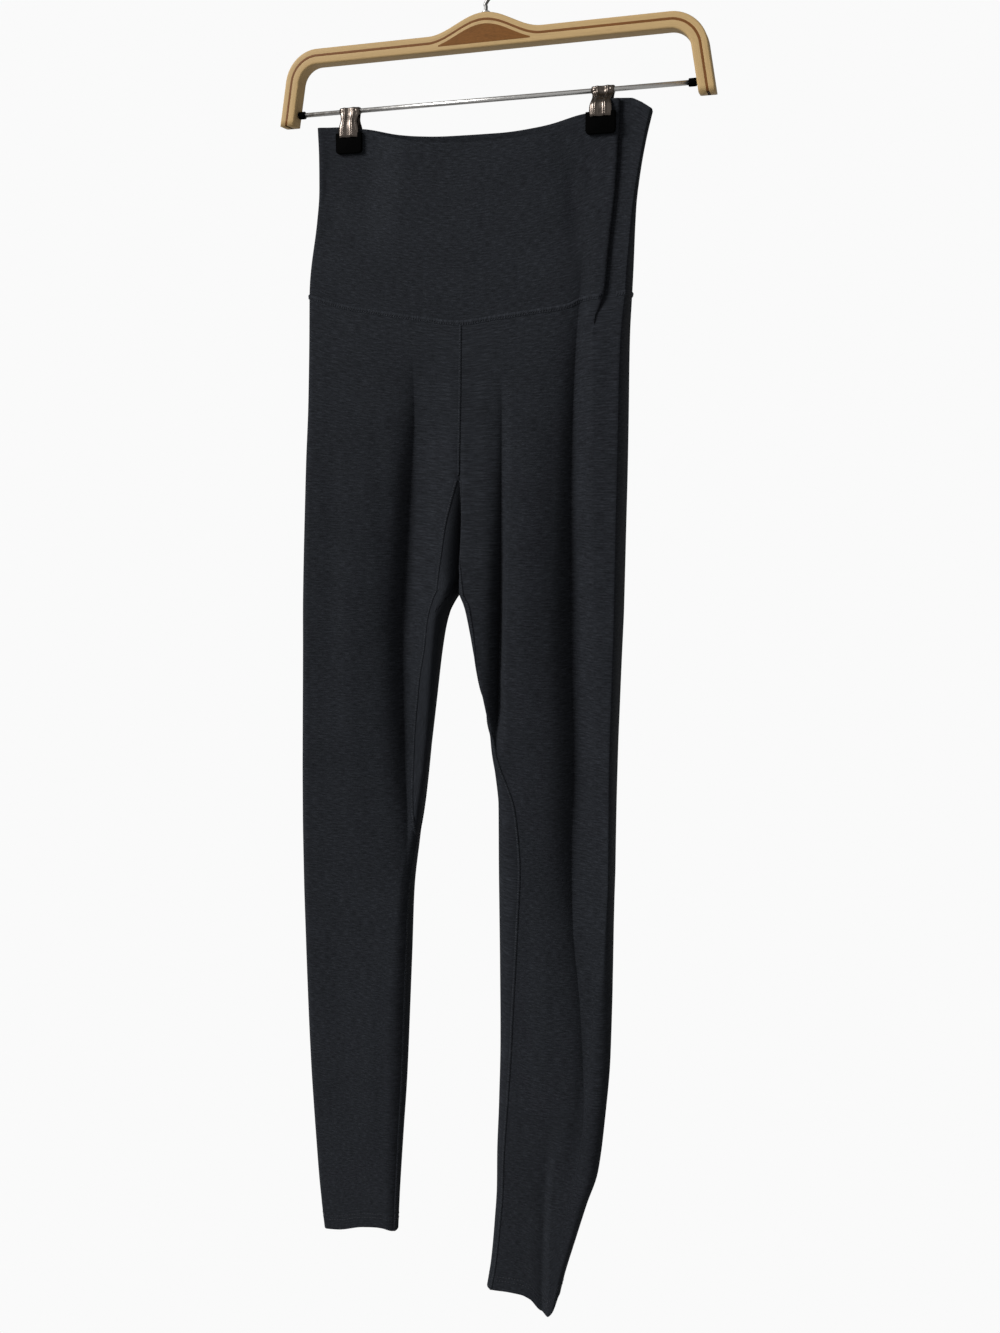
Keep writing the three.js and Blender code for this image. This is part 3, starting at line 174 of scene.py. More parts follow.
# How far right of its bottom a fold rises again, and how much of it stays beyond: down the height
LEFT_RISE = table(
    "z width kept", (-380, 40, 0), (-500, 60, 0), (-560, 60, 0.1), (-620, 50, 0.4), (-680, 40, 0.65),
    (-742, 36, 0.76), (-800, 34, 0.76), (-860, 30, 0.6), (-905, 30, 0.3),
)
RIGHT_RISE = table("z width kept", (-390, 10, 0), (-740, 12, 0))
THIGH_RISE = table(
    "z width kept", (-215, 12, 0), (-350, 18, 0.2), (-430, 22, 0.4), (-557, 26, 0.56), (-640, 28, 0.6),
    (-742, 36, 0.6), (-856, 60, 0.5), (-950, 44, 0.4), (-1100, 30, 0.3),
)
CROTCH_RISE = table("z width kept", (-430, 5, 0), (-604, 5, 0))
HEM_RISE = table("z width kept", (-1090, 10, 0), (-1300, 8, 0))
BACK_RISE = table("z width kept", (-360, 10, 0), (-1300, 12, 0))

# face, leg, line, shift from it, reach of the flank on the left, rise on the right, share
TROUGHS = [
    ("front", "left", "left_lip", 0, 8.5, LEFT_RISE,
     share((-368, 0), (-410, 0.22), (-470, 0.56), (-530, 0.76), (-600, 0.87), (-760, 0.85),
           (-820, 0.58), (-905, 0))),
    ("front", "right", "right_lip", 0, 4.6, RIGHT_RISE,
     share((-388, 0), (-430, 0.12), (-500, 0.24), (-570, 0.4), (-640, 0.52), (-700, 0.5), (-742, 0))),
    ("front", "right", "thigh_lip", 0, 11, THIGH_RISE,
     share((-215, 0), (-262, 0.1), (-318, 0.2), (-350, 0.32), (-420, 0.54), (-520, 0.74), (-620, 0.83),
           (-790, 0.83), (-860, 0.72), (-910, 0.5), (-972, 0.42), (-1040, 0.36), (-1100, 0.26), (-1150, 0.08),
           (-1180, 0))),
    ("front", "right", "thigh_fold", 0, 9, HEM_RISE,
     share((-1090, 0), (-1150, 0.2), (-1230, 0.42), (-1300, 0.48))),
    ("front", "left", "left_inner", 1, 8, CROTCH_RISE,
     share((-430, 0), (-480, 0.16), (-530, 0.52), (-570, 0.72), (-604, 0))),
    ("front", "right", "left_inner", 1, 8, CROTCH_RISE,
     share((-430, 0), (-480, 0.16), (-530, 0.52), (-570, 0.72), (-604, 0))),
    ("back", "left", "left_fold", -4, 12, BACK_RISE, share((-420, 0), (-540, 0.4), (-680, 0.5), (-760, 0))),
    ("back", "left", "left_fold", -52, 16, BACK_RISE, share((-560, 0), (-700, 0.3), (-860, 0))),
    ("back", "right", "right_fold", 24, 14, BACK_RISE, share((-380, 0), (-500, 0.4), (-640, 0.5), (-760, 0))),
    ("back", "right", "thigh_fold", 4, 10, BACK_RISE,
     share((-360, 0), (-520, 0.35), (-760, 0.5), (-1000, 0.3), (-1150, 0.1), (-1300, 0.3))),
]

# The left leg's panel falls back towards its fold
PANEL_FALL = table("z at", (-350, 0), (-450, 4), (-560, 8), (-800, 8), (-960, 2), (-1040, 0))

# How tight the rounding is at the inner and outer edges of the front, against the solids' own
INNER_TIGHT = {
    "left": table("z at", (-560, 1), (-591, 0.5), (-660, 0.35), (-800, 0.38), (-860, 0.7), (-1000, 0.8)),
    "right": table("z at", (-470, 1), (-520, 0.55), (-591, 0.45), (-640, 0.55), (-700, 0.6), (-1000, 0.7)),
}
OUTER_TIGHT = {
    "left": table("z at", (-150, 0.42), (-1300, 0.42)),
    "right": table("z at", (-860, 0.15), (-930, 0.4), (-990, 0.9), (-1060, 1.1), (-1130, 0.9), (-1200, 0.6)),
}

LEFT_SEAM = table(
    "k z front back",
    (0, -483, 0.05, 0.05),
    (1, -505, 0.3, 0.14),
    (2, -530, 0.55, 0.3),
    (3, -555, 0.7, 0.42),
    (4, -575, 0.8, 0.5),
    (5, -591, 0.84, 0.52),
    (6, -615, 0.66, 0.52),
    (7, -645, 0.66, 0.5),
    (8, -690, 0.88, 0.45),
    (9, -740, 0.96, 0.36),
    (10, -785, 0.88, 0.25),
    (11, -812, 0.64, 0.15),
    (12, -830, 0.26, 0.06),
    (13, -842, 0, 0),
)
RIGHT_SEAM = table(
    "k z front back",
    (0, -483, 0.05, 0.05),
    (1, -500, 0.09, 0.14),
    (2, -520, 0.12, 0.25),
    (3, -540, 0.16, 0.35),
    (4, -560, 0.24, 0.42),
    (5, -576, 0.34, 0.47),
    (6, -591, 0.42, 0.48),
    (7, -610, 0.46, 0.46),
    (8, -632, 0.46, 0.4),
    (9, -654, 0.4, 0.32),
    (10, -673, 0.3, 0.23),
    (11, -685, 0.19, 0.14),
    (12, -694, 0.07, 0.05),
    (13, -700, 0, 0),
)
LEFT_INSEAM = table("z at", (-842, 0), (-900, 0.1), (-1300, 0.12))
RIGHT_INSEAM = table(
    "z at", (-700, 0), (-709, 0.12), (-733, 0.7), (-790, 0.93), (-850, 0.96), (-920, 0.9),
    (-1020, 0.75), (-1120, 0.6), (-1300, 0.5),
)
BAND_TOP = {
    "front": table(
        "x z", (-172, -151.2), (-150, -152), (-124, -155.5), (-92, -166.3), (-55, -174.4), (-20, -177),
        (15, -176.8), (60, -173), (90, -164), (104, -156.5), (117, -147.6), (126, -147.9), (131, -146.2),
        (139, -148.4), (156, -159),
    ),
    "back": table(
        "x z", (-172, -151.2), (-150, -152.5), (-124, -155), (-90, -161.5), (-40, -165.5), (10, -166),
        (60, -162), (96, -156.5), (123, -154), (156, -159),
    ),
}
YOKE_SEAM = {
    "front": table(
        "x z", (-179.2, -313), (-170, -315.2), (-129, -326), (-92, -332), (-55, -337.6), (-18.5, -341.5),
        (16, -337.4), (50, -333), (82, -328.6), (96, -322.5), (135.5, -317),
    ),
    "back": table("x z", (-179.2, -313), (-100, -324), (-18.5, -331), (70, -325), (135.5, -317)),
}
HEM = {
    "left": {
        "front": table("x z", (-178, -1271.5), (-159, -1268), (-131, -1258), (-108, -1254), (-96.3, -1257)),
        "back": table("x z", (-178, -1271.5), (-131, -1256), (-96.3, -1257)),
    },
    "right": {
        "front": table(
            "x z", (-0.2, -1290), (10, -1289), (25, -1287), (37, -1286.5), (46, -1289), (57, -1300),
            (64, -1302), (69.5, -1296), (74.5, -1281),
        ),
        "back": table("x z", (-0.2, -1290), (30, -1283), (60, -1288), (74.5, -1281)),
    },
}
PLEAT_DEPTH = 4.9
PLEAT_SHAPE = np.array([
    (-10, 0), (-2, 0), (0, 1.9), (-2, 3.8), (-8.4, 3.8), (-9, 4.35), (-8.4, 4.9), (-1, 4.9), (10, 4.9),
], dtype=float)
PLEAT_FADE = table("z at", (-316, 1), (-328, 0.7), (-350, 0.2), (-380, 0))

# x, reach of the cloth at the clip in front and behind
CLIPS = {"left": (-137.2, 1.9, 1.9), "right": (110, 8.3, 1.9)}
CLIP_GRIP_FULL, CLIP_GRIP_END = 18, 62
CLIP_GRIP_TOP_Z, CLIP_GRIP_LOW_Z = -184, -300
LEAST_REACH = 1.9
YOKE_Z = -341.5
CROTCH_Z = -591
GUSSET_TOP_Z = -483
CENTRE_CURVE_TOP_Z = -470
GUSSET_SAG, GUSSET_SPREAD = 0.85, 1.4
SEAM_GAP = 0.1
MID_PLANE_GAP = 0.15

# The turned hem: its depth, how softly its edge steps out, and how far
HEM_TURN_DEPTH, HEM_TURN_SOFTNESS, HEM_TURN_LIFT = 16, 1.6, 0.35
# Down a leg, as parts of its length: how fast the yoke's curve dies out, and where the hem's curve starts
YOKE_CURVE_FADE, HEM_CURVE_START = 4.4, 0.86
# The right leg's front has seven stretches between its lines, and the pleat is the one after the fourth
RIGHT_SPANS, PLEAT_SPAN = 7, 4
# Where the yoke seam stops in the pleat, as a part of the pleat's own width
PLEAT_SEAM_STOP = 1.2 / 9
LEG_ROWS, HEM_ROWS = 230, 16
# Heights near the band's top and foot, from which its rows are found
BAND_TOP_NEAR, BAND_LOW_NEAR = -165, -328
BAND_SPANS = {"left": [5, 16, 30, 10], "front": [5, 10, 26, 8, 30, 4, 9], "back": [5, 6, 20, 14, 10]}

LEGS = {
    "left": {
        "side": -1, "outer": "left_outer", "inner": "left_inner", "corner": "left_corner",
        "inside": "left_inside", "tight": OUTER_TIGHT["left"],
        "lines": {"front": ["left_lip"], "back": ["left_fold"]},
        "seam": LEFT_SEAM, "inseam": LEFT_INSEAM, "hem": HEM["left"], "hem_z": -1257, "plain_span": -1,
        "spans": {"front": [18, 22, 44, 12], "back": [12, 12, 26, 12]},
    },
    "right": {
        "side": 1, "outer": "right_outer", "inner": "right_inner", "corner": "right_corner",
        "inside": "right_inside", "tight": OUTER_TIGHT["right"],
        "lines": {"front": ["right_lip", "thigh_lip", "ridge_start", "ridge_end"],
                  "back": ["right_fold", "thigh_fold"]},
        "seam": RIGHT_SEAM, "inseam": RIGHT_INSEAM, "hem": HEM["right"], "hem_z": -1290,
        "plain_span": PLEAT_SPAN,
        "spans": {"front": [16, 14, 40, 12, 26, 4, 9], "back": [12, 8, 20, 14, 10]},
    },
}

# Soft creases, given one by one: face, leg, start x and z, end x and z, bow, half width, depth
# (positive is a ridge), in millimetres
CREASES = [
    # at the left clip, where the cloth is drawn in
    ("front", "left", -160, -178, -166, -232, 2, 3.4, -1.1),
    ("front", "left", -118, -186, -128, -236, -3, 4.5, -0.9),
    ("front", "left", -146, -192, -152, -262, -2, 6, -0.8),
    ("front", "left", -104, -190, -92, -262, 5, 9, 0.8),
    # from the right clip down the band
    ("front", "right", 82, -196, 88, -300, 4, 7, -1.3),
    ("front", "right", 64, -190, 70, -292, 5, 11, 0.9),
    ("front", "right", 98, -190, 100, -236, 1, 5, -1.0),
    # long soft drops between the deep folds
    ("front", "left", -152, -430, -156, -700, 5, 10, -1.1),
    ("front", "left", -126, -520, -128, -880, -6, 13, 1.3),
    ("front", "left", -104, -400, -98, -650, 3, 8, -1.0),
    ("front", "left", -52, -420, -50, -600, 3, 7, 1.0),
    ("front", "left", -38, -392, -36, -520, -2, 5, -0.8),
    ("front", "right", 4, -380, 6, -610, 3, 7, 0.8),
    ("front", "right", 46, -420, 50, -760, -5, 11, 1.4),
    ("front", "right", 66, -380, 62, -640, 4, 9, -1.0),
    ("front", "right", 58, -850, 56, -1120, 4, 10, 0.9),
    ("front", "left", -150, -900, -148, -1180, -5, 13, -0.9),
    ("front", "left", -120, -960, -124, -1200, 4, 9, 0.7),
    ("front", "right", 104, -980, 82, -1180, 3, 6, -1.0),
    ("front", "right", 40, -1180, 36, -1288, 3, 8, -0.6),
    # under the crotch, drawn towards the gusset
    ("front", "left", -60, -640, -92, -760, 4, 7, 0.9),
    ("front", "left", -66, -596, -112, -650, 5, 8, -0.7),
    ("front", "right", 2, -640, 40, -730, -4, 7, -0.8),
    # behind, the seat and the drop of each leg
    ("back", "left", -140, -188, -146, -286, 3, 8, -1.0),
    ("back", "left", -104, -196, -92, -290, -4, 10, 0.8),
    ("back", "left", -38, -372, -62, -520, 6, 10, 1.3),
    ("back", "left", -112, -460, -118, -780, -6, 12, -1.3),
    ("back", "left", -150, -700, -152, -1000, 5, 12, 1.0),
    ("back", "left", -52, -600, -86, -720, -5, 8, -0.9),
    ("back", "left", -130, -1000, -134, -1200, 4, 10, -0.7),
    ("back", "right", 84, -192, 92, -296, 3, 8, -1.0),
    ("back", "right", 4, -380, 24, -540, -6, 10, 1.2),
    ("back", "right", 66, -430, 70, -700, 5, 11, -1.2),
    ("back", "right", 104, -600, 106, -900, -4, 8, 1.0),
    ("back", "right", 6, -640, 44, -740, 4, 8, -0.9),
    ("back", "right", 50, -900, 46, -1150, -4, 10, 0.8),
]


def mix(a, b, t):
    return a + (b - a) * t


def smooth(t):
    t = np.clip(t, 0, 1)
    return t * t * (3 - 2 * t)


def along(rows, column, where, key="z"):
    """A curve without overshoot through one column of a table, read where key has these values."""
    knots, values = rows[key], rows[column]
    if knots[0] > knots[-1]:
        knots, values = knots[::-1], values[::-1]
    where = np.clip(np.asarray(where, dtype=float), knots[0], knots[-1])
    slopes = np.diff(values) / np.diff(knots)
    product = slopes[:-1] * slopes[1:]
    total = np.where(product > 0, slopes[:-1] + slopes[1:], 1)
    inner = np.where(product > 0, 2 * product / total, 0)
    tangents = np.concatenate([slopes[:1], inner, slopes[-1:]])
    i = np.clip(np.searchsorted(knots, where, side="right") - 1, 0, len(knots) - 2)
    span = knots[i + 1] - knots[i]
    t = (where - knots[i]) / span
    start = values[i] * (1 + 2 * t) * (1 - t) ** 2 + tangents[i] * span * t * (1 - t) ** 2
    end = values[i + 1] * t * t * (3 - 2 * t) + tangents[i + 1] * span * t * t * (t - 1)
    return start + end


def rounding(distance, width):
    """A quarter round: 0 at an edge, 1 from width inwards."""
    t = np.clip(distance / width, 0, 1)
    return np.sqrt(np.maximum(1 - (1 - t) ** 2, 0))


def line_x(name, z):
    if name == "ridge_start":
        return along(FOLD_LINES, "ridge", z) - along(FOLD_LINES, "ridge_half", z)
    if name == "ridge_end":
        return along(FOLD_LINES, "ridge", z) + along(FOLD_LINES, "ridge_half", z)
    rows = next(rows for rows in (OUTLINE, LIPS, FOLD_LINES) if name in rows)
    return along(rows, name, z)


def clip_grip(x_clip, x, z):
    across = 1 - smooth((np.abs(x - x_clip) - CLIP_GRIP_FULL) / (CLIP_GRIP_END - CLIP_GRIP_FULL))
    down = 1 - smooth((CLIP_GRIP_TOP_Z - z) / (CLIP_GRIP_TOP_Z - CLIP_GRIP_LOW_Z))
    return across * down


def creases(face, leg, x, z):
    """The fine relief of one face of a leg, in millimetres out of the cloth."""
    total = np.zeros(np.broadcast(x, z).shape)
    for on_face, on_leg, x0, z0, x1, z1, bow, half, depth in CREASES:
        if (on_face, on_leg) != (face, leg):
            continue
        length = math.hypot(x1 - x0, z1 - z0)
        ux, uz = (x1 - x0) / length, (z1 - z0) / length
        t = ((x - x0) * ux + (z - z0) * uz) / length
        off = -(x - x0) * uz + (z - z0) * ux - bow * 4 * t * (1 - t)
        fade = np.sin(np.pi * np.clip(t, 0, 1)) ** 0.8
        total = total + depth * fade * np.exp(-((off / half) ** 2))
    return total


def corner_width(facts, z):
    """How wide the rounding at a leg's outer edge is."""
    return along(FULLNESS, facts["corner"], z) * along(facts["tight"], "at", z)


def reach(face, leg, x, z):
    """How far the outer skin stands from the mid plane."""
    facts = LEGS[leg]
    depth = along(FULLNESS, face, z)
    outer, inner = along(OUTLINE, facts["outer"], z), along(OUTLINE, facts["inner"], z)
    if (face, leg) == ("front", "left"):
        off = x - line_x("left_lip", z)
        fall = np.clip(1 + off / (line_x("left_lip", z) - outer), 0, 1)
        part = np.where(off < 0, fall, 1 - smooth(off / along(LEFT_RISE, "width", z)))
        depth = depth - along(PANEL_FALL, "at", z) * part
    for on_face, on_leg, line, shift, left_width, rise, rows in TROUGHS:
        if (on_face, on_leg) == (face, leg):
            off = x - line_x(line, z) - shift
            risen = smooth(off / along(rise, "width", z)) * (1 - along(rise, "kept", z))
            flank = np.where(off < 0, np.exp(np.minimum(off, 0) / left_width), 1 - risen)
            depth = depth * (1 - along(rows, "at", z) * flank)
    for x_clip, front, back in CLIPS.values():
        depth = mix(depth, front if face == "front" else back, clip_grip(x_clip, x, z))
    if (face, leg) == ("front", "right"):
        half = along(FOLD_LINES, "ridge_half", z)
        step = smooth((x - along(FOLD_LINES, "ridge", z) + half) / (2 * half))
        depth = depth - PLEAT_DEPTH * along(PLEAT_FADE, "at", z) * step
    depth = np.maximum(depth, LEAST_REACH)
    hem_turn = smooth((facts["hem_z"] + HEM_TURN_DEPTH - z) / HEM_TURN_SOFTNESS) * HEM_TURN_LIFT
    depth = depth + (creases(face, leg, x, z) + hem_turn) * smooth((depth - LEAST_REACH) / 3)
    depth = depth * rounding(np.abs(outer - x), corner_width(facts, z))
    down = np.clip((CENTRE_CURVE_TOP_Z - z) / (CENTRE_CURVE_TOP_Z - CROTCH_Z), 0, 1)
    kept = np.sqrt(1 - down * down)
    gap = np.maximum((x - inner) * facts["side"], 0)
    inside = along(FULLNESS, facts["inside"], z)
    if face == "front":
        inside = inside * along(INNER_TIGHT[leg], "at", z)
    return depth * (kept + (1 - kept) * rounding(gap, inside))


def column_x(face, leg, s, z):
    """x at position s across one face of a leg, from 0 at its inner edge to 1 at its outer edge."""
    facts = LEGS[leg]
    side = facts["side"]
    inner, outer = along(OUTLINE, facts["inner"], z), along(OUTLINE, facts["outer"], z)
    found = [inner, inner + side * along(FULLNESS, facts["inside"], z)]
    found += [line_x(line, z) for line in facts["lines"][face]]
    found += [outer - side * corner_width(facts, z), outer]
    for i in range(2, len(found) - 1):
        found[i] = np.where((found[i] - found[i - 1]) * side < 0.4, found[i - 1] + side * 0.4, found[i])
    found = np.stack(np.broadcast_arrays(*found))
    spans = len(found) - 1
    at = np.clip(s, 0, 1) * spans
    i = np.minimum(np.floor(at).astype(int), spans - 1)
    t = at - i
    near_lines = t - 0.75 * np.sin(2 * np.pi * t) / (2 * np.pi)
    middle = np.where((face == "front") & (i != facts["plain_span"]), near_lines, t)
    t = np.where(i == 0, 1 - np.cos(t * np.pi / 2), np.where(i == spans - 1, np.sin(t * np.pi / 2), middle))
    i = np.broadcast_to(i, found.shape[1:])[None]
    return mix(np.take_along_axis(found, i, 0)[0], np.take_along_axis(found, i + 1, 0)[0], t)


def pleat_offset(t, half):
    """The pleat's own shape, less the plain step that reach() already makes."""
    ends = [2 * PLEAT_SHAPE[0] - PLEAT_SHAPE[1], 2 * PLEAT_SHAPE[-1] - PLEAT_SHAPE[-2]]
    knots = np.vstack([ends[0], PLEAT_SHAPE, ends[1]])
    at = np.clip(t, 0, 1) * (len(PLEAT_SHAPE) - 1)
    i = np.minimum(np.floor(at).astype(int), len(PLEAT_SHAPE) - 2)
    w = (at - i)[..., None]
    p0, p1, p2, p3 = (knots[i + k] for k in range(4))
    m1, m2 = (p2 - p0) / 2, (p3 - p1) / 2
    point = (2 * p1 - 2 * p2 + m1 + m2) * w**3 + (3 * p2 - 3 * p1 - 2 * m1 - m2) * w**2 + m1 * w + p1
    return (point[..., 0] - mix(-10, 10, t)) * half / 10, point[..., 1] - PLEAT_DEPTH * smooth(t)


def skin(leg, s, x, z, face):
    """Points of the outer skin of one face, in millimetres."""
    s, x, z = np.broadcast_arrays(s, x, z)
    y = reach(face, leg, x, z) * (-1 if face == "front" else 1)
    if (face, leg) == ("front", "right"):
        t = s * RIGHT_SPANS - PLEAT_SPAN
        dx, dy = pleat_offset(t, along(FOLD_LINES, "ridge_half", z))
        fade = along(PLEAT_FADE, "at", z) * ((t > 0) & (t < 1))
        x, y = x + dx * fade, y + dy * fade
    return np.stack([x, y, z], axis=-1)


def face_points(face, leg, s, row_z):
    facts = LEGS[leg]
    down = (row_z - YOKE_Z) / (facts["hem_z"] - YOKE_Z)
    z = np.broadcast_to(row_z, np.broadcast(s, row_z).shape).astype(float)
    x = z
    for _ in range(4):
        x = column_x(face, leg, s, z)
        top = along(YOKE_SEAM[face], "z", x, "x") - YOKE_Z - SEAM_GAP / 2
        low = along(facts["hem"][face], "z", x, "x") - facts["hem_z"]
        low_part = smooth((down - HEM_CURVE_START) / (1 - HEM_CURVE_START))
        z = row_z + top * (1 - smooth(down * YOKE_CURVE_FADE)) + low * low_part
    return skin(leg, s, x, z, face)


def leg_points(leg, position, row_z):
    """Points of a leg. Positions run 0 to 1 over the front and on to 2 over the back, and wrap."""
    position, row_z = np.broadcast_arrays(np.asarray(position, float), np.asarray(row_z, float))
    turn = np.where(position < 0, position + 2, position)
    behind = (turn > 1) & (turn <= 2)
    s = np.where(turn > 2, turn - 2, np.where(turn > 1, 2 - turn, turn))
    front, back = face_points("front", leg, s, row_z), face_points("back", leg, s, row_z)
    return np.where(behind[..., None], back, front)


def leg_normals(leg, position, row_z, step=0.002):
    position, row_z = np.broadcast_arrays(np.asarray(position, float), np.asarray(row_z, float))
    back = np.where((position > 1) & (position <= 2), -step, 0)
    across = leg_points(leg, position + step + back, row_z) - leg_points(leg, position + back, row_z)
    down = leg_points(leg, position, row_z - 0.5) - leg_points(leg, position, row_z + 0.5)
    normal = np.cross(across, down) * -LEGS[leg]["side"]
    return normal / np.maximum(np.linalg.norm(normal, axis=-1, keepdims=True), 1e-9)


def lifted(leg, position, row_z, distance):
    """Points of a leg moved out of the cloth by a distance."""
    distance = np.asarray(distance, dtype=float)[..., None]
    return leg_points(leg, position, row_z) + leg_normals(leg, position, row_z) * distance


def positions(counts):
    found = [0.0]
    for span, count in enumerate(counts):
        found += [(span + k / count) / len(counts) for k in range(1, count + 1)]
    return np.array(found)


def inside_position(leg, face, part):
    spans = len(LEGS[leg]["spans"][face])
    return np.arccos(1 - np.minimum(part, 1)) / (np.pi / 2) / spans


def seam_start(leg, z):
    facts = LEGS[leg]
    tip = facts["seam"]["z"][-1]
    part = np.where(z > tip, along(facts["seam"], "front", z), along(facts["inseam"], "at", z))
    return np.where(z > GUSSET_TOP_Z, 0, inside_position(leg, "front", part))


def seam_end(leg, z):
    facts = LEGS[leg]
    tip = facts["seam"]["z"][-1]
    above = 2 - inside_position(leg, "back", along(facts["seam"], "back", z))
    below = 2 + inside_position(leg, "front", along(facts["inseam"], "at", z))
    return np.where(z > GUSSET_TOP_Z, 2, np.where(z > tip, above, below))


# ---- Making meshes ----


def publish(name, bm, material, smooth_faces=True):
    """A finished object at the origin, from a bmesh."""
    mesh = bpy.data.meshes.new(name)
    bm.to_mesh(mesh)
    bm.free()
    obj = bpy.data.objects.new(name, mesh)
    bpy.context.collection.objects.link(obj)
    mesh.materials.append(material)
    mesh.polygons.foreach_set("use_smooth", [smooth_faces] * len(mesh.polygons))
    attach(obj, "root")
    return obj


def sheet_grid(points, flip=False, tube=False, caps=False):
    """A bmesh grid laid over an array of points in millimetres, with its own lengths in metres as UV."""
    rows, columns = points.shape[:2]
    bm = bmesh.new()
    bmesh.ops.create_grid(bm, x_segments=columns - 1, y_segments=rows - 1, size=1)
    bm.verts.ensure_lookup_table()
    flat = points.reshape(-1, 3) * MM
    for vert, place in zip(bm.verts, flat):
        vert.co = place
    across = np.linalg.norm(np.diff(points, axis=1), axis=2).mean(axis=0)
    down = np.linalg.norm(np.diff(points, axis=0), axis=2).mean(axis=1)
    u = np.concatenate([[0], np.cumsum(across)]) * MM
    v = np.concatenate([[0], np.cumsum(down)]) * MM
    layer = bm.loops.layers.uv.new("lengths")
    for face in bm.faces:
        for loop in face.loops:
            row, column = divmod(loop.vert.index, columns)
            loop[layer].uv = (u[column], -v[row])
    if tube:
        bmesh.ops.remove_doubles(bm, verts=bm.verts, dist=1e-6)
    if caps:
        bmesh.ops.holes_fill(bm, edges=[e for e in bm.edges if e.is_boundary], sides=0)
        bmesh.ops.recalc_face_normals(bm, faces=bm.faces)
    if flip:
        bmesh.ops.reverse_faces(bm, faces=bm.faces)
    return bm


def faces_out(points, toward):
    """True where the grid's own normals point away from the given direction at its middle."""
    i, j = points.shape[0] // 2, points.shape[1] // 4
    across = points[i, j + 1] - points[i, j - 1]
    down = points[i - 1, j] - points[i + 1, j]
    return float(np.dot(np.cross(across, down), toward)) < 0


def cloth(name, points, toward, thickness, material, hem_rows=0, hem_thickness=None):
    """A thin shell under an outer skin of points; the last rows may be a thicker, turned hem."""
    obj = publish(name, sheet_grid(points, flip=not faces_out(points, toward)), material)
    wall = obj.modifiers.new("thickness", "SOLIDIFY")
    wall.thickness = hem_thickness or thickness
    wall.offset = -1
    if hem_rows:
        group = obj.vertex_groups.new(name="hem")
        columns = points.shape[1]
        first = (points.shape[0] - hem_rows) * columns
        group.add(list(range(first, points.shape[0] * columns)), 1.0, "REPLACE")
        wall.vertex_group = "hem"
        wall.thickness_vertex_group = thickness / hem_thickness
    edge = obj.modifiers.new("soft_edge", "BEVEL")
    edge.width = thickness * 0.4
    edge.segments = 2
    edge.limit_method = "ANGLE"
    edge.angle_limit = math.radians(62)
    return obj


def leg_cloth(leg):
    facts = LEGS[leg]
    rows = np.concatenate([
        np.linspace(YOKE_Z, facts["hem_z"] + 20, LEG_ROWS - HEM_ROWS),
        np.linspace(facts["hem_z"] + 18, facts["hem_z"], HEM_ROWS),
    ])[:, None]
    front, back = positions(facts["spans"]["front"]), positions(facts["spans"]["back"])
    n_front, n_back = facts["spans"]["front"][0], facts["spans"]["back"][0]
    start, end = seam_start(leg, rows), seam_end(leg, rows)
    t_front, t_back = np.arange(n_front) / n_front, np.arange(n_back - 1, -1, -1) / n_back
    left = mix(start, front[n_front], t_front[None])
    right = mix(end, 2 - back[n_back], t_back[None])
    middle = np.concatenate([front[n_front:], (2 - back[n_back:])[::-1][1:]])
    place = np.hstack([left, np.repeat(middle[None], len(rows), axis=0), right])
    return leg_points(leg, place, np.repeat(rows, place.shape[1], axis=1))


def gusset_cloth():
    last = LEFT_SEAM["k"][-1]
    patches = []
    for face in ("front", "back"):
        k = np.linspace(0, last, 70)[:, None]
        centre = mix(GUSSET_TOP_Z, CROTCH_Z, (k / last) ** GUSSET_SAG)
        halves = []
        for leg, parts in (("left", np.linspace(1, 0, 13)[:-1]), ("right", np.linspace(0, 1, 13))):
            seam = LEGS[leg]["seam"]
            seam_z = along(seam, "z", k, "k")
            row_z = mix(centre, seam_z, parts[None] ** GUSSET_SPREAD)
            s = inside_position(leg, face, along(seam, face, seam_z)) * parts[None]
            halves.append(leg_points(leg, s if face == "front" else 2 - s, row_z))
        patches.append(np.concatenate(halves, axis=1))
    return np.concatenate([patches[0], patches[1][::-1][1:]], axis=0)


def band_cloth(face, rows=46):
    down = np.linspace(0, 1, rows)[:, None]
    places = {"left": positions(BAND_SPANS["left"])[::-1], "right": positions(BAND_SPANS[face])[1:]}
    parts = []
    for leg, s in places.items():
        z = np.broadcast_to(mix(BAND_TOP_NEAR, BAND_LOW_NEAR, down), (rows, len(s))).astype(float)
        for _ in range(4):
            x = column_x(face, leg, s[None], z)
            top, low = along(BAND_TOP[face], "z", x, "x"), along(YOKE_SEAM[face], "z", x, "x") + SEAM_GAP
            z = mix(top, low, down)
        parts.append(skin(leg, s[None], x, z, face))
    points = np.concatenate(parts, axis=1)
    side = -MID_PLANE_GAP if face == "front" else MID_PLANE_GAP
    points[:, 0, 1] = points[:, -1, 1] = side
    return points


# ---- Finishes ----


def finish_nodes(name, roughness=0.5, metallic=0.0, specular=0.5, colour=(0.5, 0.5, 0.5)):
    material = bpy.data.materials.new(name)
    material.use_nodes = True
    shader = material.node_tree.nodes["Principled BSDF"]
    shader.inputs["Roughness"].default_value = roughness
    shader.inputs["Metallic"].default_value = metallic
    shader.inputs["Specular IOR Level"].default_value = specular
    shader.inputs["Base Color"].default_value = (*colour, 1)
    return material, shader


def node(material, kind, inputs=None, **facts):
    """Adds a node, sets its facts, and links or sets its inputs."""
    made = material.node_tree.nodes.new(kind)
    for key, value in facts.items():
        setattr(made, key, value)
    for key, value in (inputs or {}).items():
        socket = made.inputs[key]
        if isinstance(value, bpy.types.NodeSocket):
            material.node_tree.links.new(value, socket)
        else:
            socket.default_value = value
    return made


